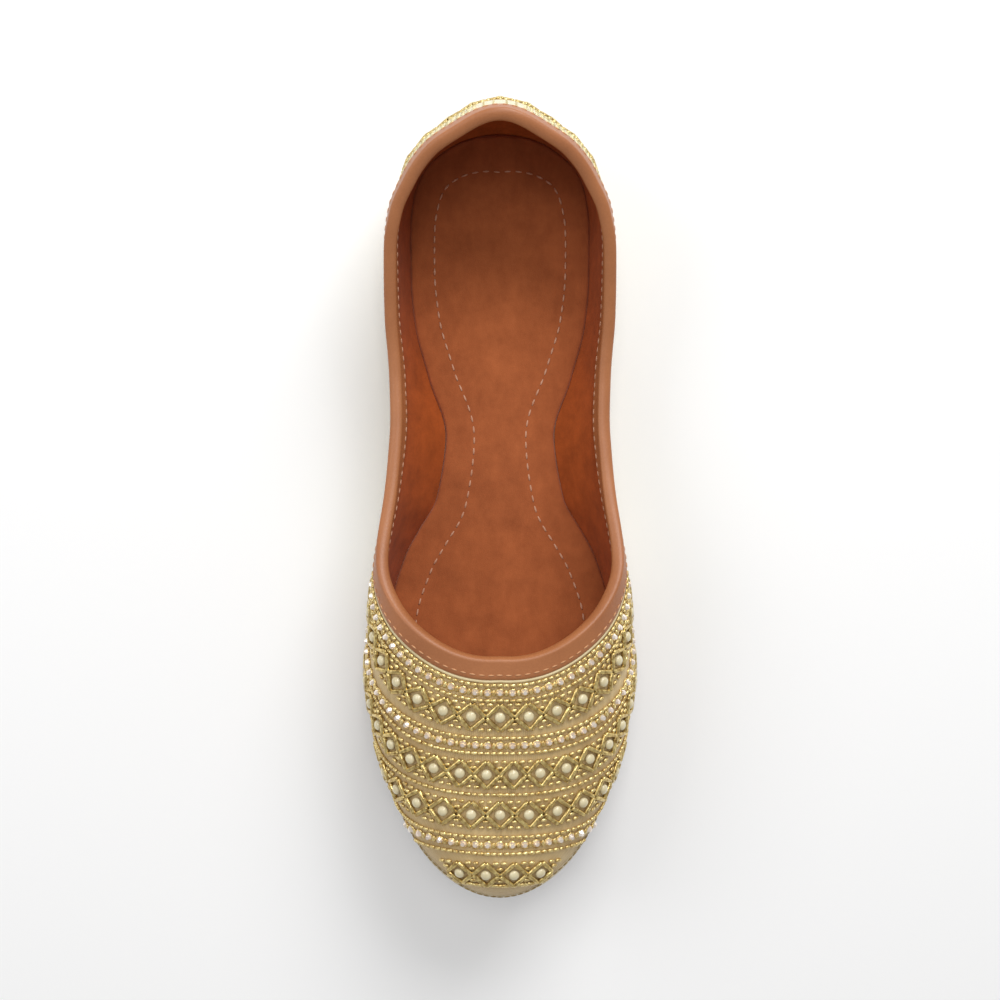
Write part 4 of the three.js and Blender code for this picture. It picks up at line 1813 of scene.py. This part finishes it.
@dataclass(frozen=True)
class Row:
    """A line across the vamp: where it crosses the spine, and how it falls back down the sides."""

    centre: float
    fall: float
    sweep: float
    back_at: float = 0.45
    spine_from: float = 0.4

    def trace(self) -> Trace:
        """The line from one foot line over the spine to the other.

        Returns:
            The line, measured from the spine.
        """
        crowded, low = 0.1, turn_of(np.array(self.back_at))
        top = self._top_row()
        spine = LAST.point(self._spine(top), top)[0, 2]
        side, ridge = np.linspace(0, 1 - crowded, 120), 1 - crowded * np.linspace(1, 0, 40)[1:] ** 2
        row = top[0] * np.concatenate([side, ridge])

        def past(turn: Array) -> Array:
            """Above 0 ahead of the line."""
            p = LAST.point(turn, row)
            drop = np.maximum(spine - p[..., 2], -1)
            return p[..., 0] + self.fall * drop + self.sweep * drop**2 - self.centre

        turn = bisect(past, np.full_like(row, low), np.ones_like(row))
        if top[0] < 1:
            turn[-1] = 1.0
            far_turn, far_row = 2 - turn[-2::-1], row[-2::-1]
        else:
            far_turn, far_row = turn[-2::-1], 2 - row[-2::-1]
        return Trace(np.concatenate([turn, far_turn]), np.concatenate([row, far_row])).centred()

    def _top_row(self) -> Array:
        """The row where the line crosses the shoe's middle: the spine, or lower on the toe's round front.

        Returns:
            The row.
        """
        one = np.ones(1)
        if LAST.point(one, one)[0, 0] >= self.centre:
            return one
        return bisect(lambda row: self.centre - LAST.point(one, row)[..., 0], np.zeros(1), one)

    def _spine(self, row: Array) -> Array:
        """The turn where the line crosses the middle in a row.

        Args:
            row: the row.

        Returns:
            The turn.
        """
        if row[0] < 1:
            return np.ones(1)
        low = np.full(1, self.spine_from)
        return bisect(lambda turn: LAST.point(turn, row)[..., 0] - self.centre, low, np.ones(1))


@dataclass(frozen=True)
class Chain:
    """A row of bugle-bead diamonds: their pitch, half their height, and whether two straddle the spine."""

    row: Row
    pitch: float
    half: float
    straddle: bool


def diamond_sides(trace: Trace, centres: Array, pitch: float, half: float) -> Seats:
    """Places for the four bugle beads round each middle in a chain of diamonds.

    Args:
        trace: the line that the middles lie on.
        centres: the lengths of the middles along it.
        pitch: how far apart they are.
        half: half a diamond's height.

    Returns:
        The places.
    """
    middle = trace.seats(centres)
    place = trace.place(centres)
    corners = [
        trace.point(centres - pitch / 2),
        LAST.point(*LAST.walk(*place, middle.across, half)),
        trace.point(centres + pitch / 2),
        LAST.point(*LAST.walk(*place, -middle.across, half)),
    ]
    return Seats.joined([Seats.between(corners[k - 1], corners[k], middle.out) for k in (1, 2, 3, 0)])


@dataclass
class Beadwork:
    """The vamp's rows: seed beads, crystals, pearls and diamonds of bugle beads."""

    base: float = 0.28
    seed_pitch: float = 1.95
    seed_size: float = 1.2
    seed_stretch: tuple[float, float, float] = (1.5, 1.0, 0.95)
    seed_rise: float = 0.42
    seed_rows: tuple[Row, ...] = (
        Row(198.1, 1.01, -0.0034), Row(202.9, 0.80, 0.0160), Row(215.9, 0.58, 0.0022),
        Row(229.3, 0.29, 0.0111), Row(234.6, 0.28, -0.0099), Row(244.8, 0.06, 0.0),
    )
    throat_seeds: tuple[float, float] = (7.4, 12.2)
    uneven: tuple[float, float] = (0.88, 1.12)
    crystal_pitch: float = 3.75
    crystal_rows: tuple[Row, ...] = (Row(200.5, 0.97, 0.01), Row(231.9, 0.39, -0.0092))
    throat_crystals: float = 9.8
    crystal_size: tuple[float, float, float] = (2.4, 2.4, 3.2)
    crystal_height: float = 0.55
    cup_size: tuple[float, float, float] = (3.1, 3.1, 1.5)
    cup_height: float = 0.2
    stud_size: tuple[float, float, float] = (1.3, 2.2, 1.3)
    stud_height: float = 0.6
    bugle_size: tuple[float, float, float] = (5.6, 1.58, 1.58)
    pearl_size: tuple[float, float, float] = (3.4, 3.4, 2.5)
    pearl_height: float = 0.7
    chains: tuple[Chain, ...] = (
        Chain(Row(191.6, 1.37, 0.0046), 8.7, 4.3, False), Chain(Row(209.6, 0.64, 0.0194), 8.15, 4.3, True),
        Chain(Row(222.2, 0.5, 0.0052), 8.8, 4.4, False), Chain(Row(241.3, 0.08, -0.0015), 8.4, 4.1, True),
    )
    fillers: tuple[tuple[float, float], ...] = ((0.5, 0.0), (0.92, -1.2), (0.92, 1.2))
    margin: float = 0.8
    diamond_margin: float = 0.5
    seam_cord: float = 0.6
    rand_share: float = 0.6
    binding_share: float = 0.8
    past_throat: float = 186.0

    def on_cloth(self, seats: Seats, margin: float) -> Array:
        """Which places lie on the vamp's open cloth.

        Args:
            seats: the places.
            margin: how far from its edges they stay.

        Returns:
            A mask.
        """
        x, z = seats.point[:, 0], seats.point[:, 2]
        ahead = x > LAST.seam_at(z) + margin + self.seam_cord
        above = z > LAST.rand_top(x) + margin * self.rand_share
        under = z < LAST.binding_foot(x) - margin * self.binding_share
        return ahead & above & (under | (x > self.past_throat))

    def line(self, trace: Trace, pitch: float, half: bool = False) -> Seats:
        """Even places along a row that lie on the vamp."""
        seats = trace.seats(trace.run(pitch, half))
        return seats.kept(self.on_cloth(seats, self.margin))

    def diamonds(self, chain: Chain) -> tuple[Seats, Seats]:
        """The bugle beads and middles of one chain of diamonds.

        Args:
            chain: the chain.

        Returns:
            Places for the bugle beads, and for the middles.
        """
        trace = chain.row.trace()
        centres = trace.run(chain.pitch, chain.straddle)
        centres = centres[self.on_cloth(trace.seats(centres), self.diamond_margin)]
        return diamond_sides(trace, centres, chain.pitch, chain.half), trace.seats(centres)

    def gaps(self, chain: Chain) -> Seats:
        """Places for seed beads in the triangles over and under a chain's joints.

        Args:
            chain: the chain.

        Returns:
            The places.
        """
        trace = chain.row.trace()
        joints = trace.run(chain.pitch, not chain.straddle)
        base = trace.seats(joints)
        parts = []
        for sign in (1, -1):
            for rise, spread in self.fillers:
                place = LAST.walk(*trace.place(joints), base.across * sign, chain.half * rise)
                if spread:
                    place = LAST.walk(*place, base.along, spread)
                parts.append(Seats.on_skin(*place, base.along))
        seats = Seats.joined(parts)
        return seats.kept(self.on_cloth(seats, self.margin))

    def build(self, wardrobe: Wardrobe) -> None:
        """Builds and dresses the beadwork.

        Args:
            wardrobe: the finishes.
        """
        self._chains(wardrobe)
        self._seeds(wardrobe)
        self._crystals(wardrobe)

    def _chains(self, wardrobe: Wardrobe) -> None:
        """The pearls and the bugle beads round them.

        Args:
            wardrobe: the finishes.
        """
        sides, middles = zip(*(self.diamonds(chain) for chain in self.chains))
        pearls = Seats.joined(middles).lifted(self.base + self.pearl_height)
        Bench.sew("vamp_pearls", Proto.dome(), pearls, self.pearl_size, wardrobe.pearl)
        bugles = Seats.joined(sides).lifted(self.base + self.bugle_size[2] / 2)
        Bench.sew("vamp_bugle_beads", Proto.bugle(), bugles, self.bugle_size, wardrobe.bugle)

    def _seeds(self, wardrobe: Wardrobe) -> None:
        """The rows of seed beads, and those between the diamonds.

        Args:
            wardrobe: the finishes.
        """
        throat = CollarLine().over_throat()
        traces = [row.trace() for row in self.seed_rows]
        traces += [throat.shifted(distance).centred() for distance in self.throat_seeds]
        parts = [self.line(trace, self.seed_pitch) for trace in traces]
        parts += [self.gaps(chain) for chain in self.chains]
        seats = Seats.joined(parts).lifted(self.base + self.seed_size * self.seed_rise)
        rng = np.random.default_rng(7)
        factor = rng.uniform(*self.uneven, (len(seats.point), 1))
        scale = self.seed_size * factor * np.array([self.seed_stretch])
        Bench.sew("vamp_seed_beads", Proto.seed(), seats, scale, wardrobe.seed)

    def _crystals(self, wardrobe: Wardrobe) -> None:
        """The crystals in their gold cups, with a stud between each two.

        Args:
            wardrobe: the finishes.
        """
        throat = CollarLine().over_throat()
        traces = [row.trace() for row in self.crystal_rows] + [throat.shifted(self.throat_crystals).centred()]
        stones = Seats.joined([self.line(trace, self.crystal_pitch) for trace in traces])
        between = Seats.joined([self.line(trace, self.crystal_pitch, True) for trace in traces])
        cups = stones.lifted(self.base + self.cup_height)
        Bench.sew("vamp_crystal_cups", Proto.dome(), cups, self.cup_size, wardrobe.seed)
        stones = stones.lifted(self.base + self.crystal_height)
        crystals = Bench.copies("vamp_crystals", Proto.stone(), stones, self.crystal_size, flat=True)
        Bench.hand_over(crystals, wardrobe.crystal, Slot.FABRIC)
        studs = between.lifted(self.base + self.stud_height)
        Bench.sew("vamp_gold_studs", Proto.dome(), studs, self.stud_size, wardrobe.seed)


@dataclass
class HeelBand:
    """The chain of bugle diamonds round the heel, with its pillows, pearls and border of seed beads."""

    level: float = 30.5
    slope: float = 0.34
    ends_at: float = 0.25
    room: float = 6.4
    room_end: float = 31.0
    room_taper: float = 4.0
    count: int = 9
    pitch: float = 8.6
    half: float = 4.2
    border: float = 1.1
    border_end: float = 3.2
    border_taper: float = 4.8
    seed_start: float = 0.7
    seed_pitch: float = 1.85
    joint_rise: float = 0.62

    def middle(self, x: Array) -> Array:
        """The height of the band's middle line."""
        return self.level - self.slope * x

    def covers(self, seats: Seats) -> Array:
        """Which places lie under the band."""
        x, z = seats.point[:, 0], seats.point[:, 2]
        reach = self.room * np.clip((self.room_end - x) / self.room_taper, 0, 1)
        return (np.abs(z - self.middle(x)) < reach) & (x < self.room_end)

    def trace(self) -> Trace:
        """The middle line from one side round the heel to the other, measured from the heel.

        Returns:
            The line.
        """
        turn = np.linspace(0, turn_of(np.array(self.ends_at)), 200)
        row = LAST.row_under(turn, self.middle)
        turns = np.concatenate([-turn[::-1], turn[1:]])
        return Trace(turns, np.concatenate([row[::-1], row[1:]])).centred()

    def seeds(self, trace: Trace) -> Seats:
        """Places for the border's seed beads, and for two at each joint of the chain.

        Args:
            trace: the middle line.

        Returns:
            The places.
        """
        reach = self.count / 2 * self.pitch + self.border_end
        lengths = np.linspace(-reach, reach, 240)
        rise = (self.half + self.border) * np.clip((reach - np.abs(lengths)) / self.border_taper, 0, 1)
        base = trace.seats(lengths)
        parts = []
        for sign in (1, -1):
            border = Trace(*LAST.walk(*trace.place(lengths), base.across * sign, rise))
            parts.append(border.seats(border.paces(self.seed_start, self.seed_pitch)))
        joints = np.arange(-self.count / 2, self.count / 2 + 1) * self.pitch
        base = trace.seats(joints)
        for sign in (1, -1):
            place = LAST.walk(*trace.place(joints), base.across * sign, self.half * self.joint_rise)
            parts.append(Seats.on_skin(*place, base.along))
        return Seats.joined(parts)

    def build(self, wardrobe: Wardrobe) -> None:
        """Builds and dresses the band.

        Args:
            wardrobe: the finishes.
        """
        trace = self.trace()
        centres = (np.arange(self.count) - self.count // 2) * self.pitch
        middle = trace.seats(centres)
        sides = diamond_sides(trace, centres, self.pitch, self.half)
        for name, shape, seats, size, material in (
            ("heel_bugle_beads", Proto.bugle(), sides.lifted(0.75), (5.3, 1.45, 1.45), wardrobe.bugle),
            ("heel_pillows", Proto.pillow(), middle.lifted(0.1), (7.0, 6.8, 5.0), wardrobe.pillow),
            ("heel_pearls", Proto.dome(), middle.lifted(0.9), (3.4, 3.4, 2.4), wardrobe.pearl),
            ("heel_seed_beads", Proto.seed(), self.seeds(trace).lifted(0.5), (1.2, 1.0, 1.0), wardrobe.seed),
        ):
            Bench.sew(name, shape, seats, size, material)


@dataclass
class Embroidery:
    """The gold chain lines of the quarters and their seams."""

    band: HeelBand
    lines: int = 15
    stitch_pitch: float = 1.9
    lift: float = 0.18
    zigzag: float = 0.2
    stitch_size: tuple[float, float, float] = (1.04, 1.15, 1.15)
    uneven: tuple[float, float] = (0.88, 1.1)
    collar_gap: float = 0.4
    binding_gap: float = 0.5
    start: float = 0.5
    upright_start: float = 0.2
    front_rows: float = 0.6
    slack: float = 0.3
    first_gap: float = 2.4
    nest_pitch: float = 2.7
    slant: float = 1.07
    ends_at: float = 0.66
    back_reach: float = 6.2
    back_end: float = 30.0
    beside_middle: float = 0.02
    back_foot: float = 0.01
    back_lines: tuple[float, ...] = (-5.0, -2.0, 2.0, 5.0)
    band_gap: float = 0.2
    seam_rows: float = 0.55
    seam_line: tuple[float, float] = (2.0, 1.9)
    piping_line: tuple[float, float] = (0.3, 0.8)
    piping_size: tuple[float, float] = (0.55, 0.5)
    piping_height: float = 0.3
    seam_height: float = 0.42
    seam_zigzag: float = 0.25
    seam_stitch_size: tuple[float, float, float] = (1.05, 1.2, 1.1)

    def gap(self, nest: int) -> float:
        """How far behind the seam the nested line of that number turns upright."""
        return self.first_gap + self.nest_pitch * nest

    def level(self, turn: Array, share: float) -> Array:
        """The rows of a lengthwise line.

        Args:
            turn: the places' turns, 0 or more.
            share: the line's share of the height from the foot line to the collar.

        Returns:
            The rows.
        """
        foot = LAST.point(turn, np.zeros_like(turn))[..., 2]
        top = LAST.row_under(turn, lambda x: LAST.collar_height(x) - self.collar_gap)
        edge = LAST.point(turn, top)[..., 2]
        target = foot + (edge - foot) * share
        return LAST.row_under(turn, lambda x: target)

    def under_binding(self, seats: Seats) -> Array:
        """Which places lie clear below the binding."""
        return seats.point[:, 2] < LAST.binding_foot(seats.point[:, 0]) - self.binding_gap

    def on_quarter(self, seats: Seats, gap: float) -> Array:
        """Which places lie on the open cloth of the quarter.

        Args:
            seats: the places.
            gap: how far behind the seam they stay.

        Returns:
            A mask.
        """
        x, y, z = seats.point.T
        behind = LAST.seam_at(z) - x > gap * self.slant
        back = (np.abs(y) < self.back_reach) & (x < self.back_end)
        return behind & self.under_binding(seats) & ~self.band.covers(seats) & ~back

    def build(self, wardrobe: Wardrobe) -> None:
        """Builds and dresses the embroidery.

        Args:
            wardrobe: the finishes.
        """
        seats = Seats.joined(self._lengthwise() + self._upright() + self._back_lines())
        rng = np.random.default_rng(3)
        scale = np.array([self.stitch_size]) * rng.uniform(*self.uneven, (len(seats.point), 1))
        chain = seats.lifted(self.lift).zigzag(self.zigzag)
        Bench.sew("quarter_chain_stitches", Proto.stitch(), chain, scale, wardrobe.zari)
        self._seam(wardrobe)

    def _lengthwise(self) -> list[Seats]:
        """Stitches of the lines that run along the quarters.

        Returns:
            Places for them.
        """
        turn = np.linspace(0, turn_of(np.array(self.ends_at)), 260)
        parts = []
        for number in range(1, self.lines + 1):
            nest = min(number - 1, self.lines - number)
            row = self.level(turn, number / (self.lines + 1))
            for side in (1, -1):
                trace = Trace(side * turn, row)
                seats = trace.seats(trace.paces(self.start, self.stitch_pitch))
                parts.append(seats.kept(self.on_quarter(seats, self.gap(nest))))
        return parts

    def _upright(self) -> list[Seats]:
        """Stitches of the nested fronts, which run beside the seam and join the lengthwise lines in pairs.

        Returns:
            Places for them.
        """
        row = np.linspace(0.0, self.front_rows, 120)
        parts = []
        for nest in range(self.lines // 2):
            share = (nest + 1) / (self.lines + 1)
            turn = LAST.seam_turn(row, -self.gap(nest) * self.slant)
            for side in (1, -1):
                trace = Trace(side * turn, row)
                lengths = trace.paces(self.upright_start, self.stitch_pitch)
                seats = trace.seats(lengths)
                here = np.abs(trace.place(lengths)[0])
                bottom = LAST.point(here, self.level(here, share))[..., 2]
                top = LAST.point(here, self.level(here, 1 - share))[..., 2]
                z = seats.point[:, 2]
                between = (z > bottom - self.slack) & (z < top + self.slack)
                parts.append(seats.kept(between & self.under_binding(seats)))
        return parts

    def _back_lines(self) -> list[Seats]:
        """Stitches of the upright lines either side of the heel's middle.

        Returns:
            Places for them.
        """
        top = float(LAST.row_under(np.array([self.beside_middle]), LAST.binding_foot)[0])
        row = np.linspace(self.back_foot, top, 80)
        middle = Trace(np.zeros_like(row), row)
        parts = []
        for distance in self.back_lines:
            line = middle.shifted(distance)
            seats = line.seats(line.paces(self.start, self.stitch_pitch))
            x, z = seats.point[:, 0], seats.point[:, 2]
            clear = np.abs(z - self.band.middle(x)) > self.band.room + self.band_gap
            parts.append(seats.kept(clear & self.under_binding(seats)))
        return parts

    def _seam(self, wardrobe: Wardrobe) -> None:
        """The folded edge of the vamp over the quarter, and its row of stitches.

        Args:
            wardrobe: the finishes.
        """
        row = np.linspace(0.0, self.seam_rows, 140)
        cords, stitches = [], []
        for side in (1, -1):
            for (ahead, pitch), goal in ((self.piping_line, cords), (self.seam_line, stitches)):
                trace = Trace(side * LAST.seam_turn(row, ahead), row)
                seats = trace.seats(trace.paces(self.upright_start, pitch))
                x, z = seats.point[:, 0], seats.point[:, 2]
                goal.append(seats.kept(z < LAST.binding_foot(x) + self.binding_gap))
        for name, seats in zip(("seam_piping_left", "seam_piping_right"), cords):
            cord = Bench.cord(name, seats.lifted(self.piping_height), *self.piping_size, closed=False)
            Bench.hand_over(cord, wardrobe.cord, Slot.FABRIC)
        chain = Seats.joined(stitches).lifted(self.seam_height).zigzag(self.seam_zigzag)
        Bench.sew("seam_chain", Proto.stitch(), chain, self.seam_stitch_size, wardrobe.zari)


# Studio


@dataclass(frozen=True)
class Lamp:
    """A square soft lamp: where it hangs and how wide it is, in metres, and its power in watts."""

    name: str
    place: tuple[float, float, float]
    size: float
    power: float

    def hang(self) -> None:
        """Hangs the lamp, turned to the frame's origin."""
        light = bpy.data.lights.new(self.name, "AREA")
        light.size, light.energy = self.size, self.power
        holder = bpy.data.objects.new(self.name, light)
        bpy.context.collection.objects.link(holder)
        holder.location = self.place
        holder.rotation_euler = (-Vector(self.place)).to_track_quat("-Z", "Y").to_euler()


@dataclass
class Studio:
    """A pale floor, soft light, and a camera over the shoe."""

    aim: float = 0.7
    aim_height: float = 30.0
    distance: float = 500.0
    tilt: float = -2.0
    lens: float = 56.5
    sensor: float = 36.0
    nearest: float = 0.01
    floor_size: float = 8.0
    sky: float = 0.42
    lamps: tuple[Lamp, ...] = (
        Lamp("key", (-0.8, 0.3, 0.72), 0.6, 8.2),
        Lamp("fill", (-0.25, -0.75, 0.8), 0.6, 2.4),
        Lamp("top", (-0.3, 0.0, 1.3), 0.35, 2.6),
    )

    def floor(self) -> None:
        """A wide pale floor."""
        bpy.ops.object.select_all(action="DESELECT")
        bpy.ops.mesh.primitive_plane_add(size=self.floor_size, location=(0, 0, 0))
        piece = bpy.context.object
        piece.name = "studio_floor"
        paint = Paint("pale_floor")
        cloud = paint.noise(3, 2)
        shade = paint.blend(cloud, (0.93, 0.93, 0.93, 1), (0.96, 0.96, 0.96, 1))
        piece.data.materials.append(paint.done(Base_Color=shade, Roughness=0.9))

    def lights(self) -> None:
        """Large soft lamps and an even sky."""
        world = bpy.data.worlds.new("studio_sky")
        bpy.context.scene.world = world
        world.use_nodes = True
        sky = world.node_tree.nodes["Background"]
        sky.inputs["Color"].default_value = (1.0, 1.0, 1.0, 1.0)
        sky.inputs["Strength"].default_value = self.sky
        for lamp in self.lamps:
            lamp.hang()

    def camera(self) -> None:
        """Looks straight down, nearly, with the heel at the top of the picture."""
        lens = bpy.data.cameras.new("camera")
        lens.lens, lens.sensor_width, lens.clip_start = self.lens, self.sensor, self.nearest
        holder = bpy.data.objects.new("camera", lens)
        bpy.context.collection.objects.link(holder)
        angle = math.radians(self.tilt)
        aim = Vector((self.aim, 0.0, self.aim_height)) * MM
        back = Vector((math.sin(angle), 0.0, math.cos(angle)))
        right = Vector((0, 1, 0))
        turned = Matrix((right, back.cross(right), back)).transposed().to_4x4()
        holder.matrix_world = Matrix.Translation(aim + back * self.distance * MM) @ turned
        bpy.context.scene.camera = holder

    def build(self) -> None:
        """Builds the studio."""
        self.floor()
        self.lights()
        self.camera()
        bpy.context.scene.view_settings.view_transform = "Standard"
        log.info("studio: floor, %d lamps and a camera", len(self.lamps))


def main() -> None:
    """Builds the shoe and its studio."""
    logging.basicConfig(level=logging.INFO, format="%(message)s")
    wardrobe = Wardrobe()
    Studio().build()
    Upper().build(wardrobe)
    CollarBinding().build(wardrobe)
    ToeRand().build(wardrobe)
    Bottom().build(wardrobe)
    Beadwork().build(wardrobe)
    band = HeelBand()
    Embroidery(band).build(wardrobe)
    band.build(wardrobe)


if __name__ == "__main__":
    main()
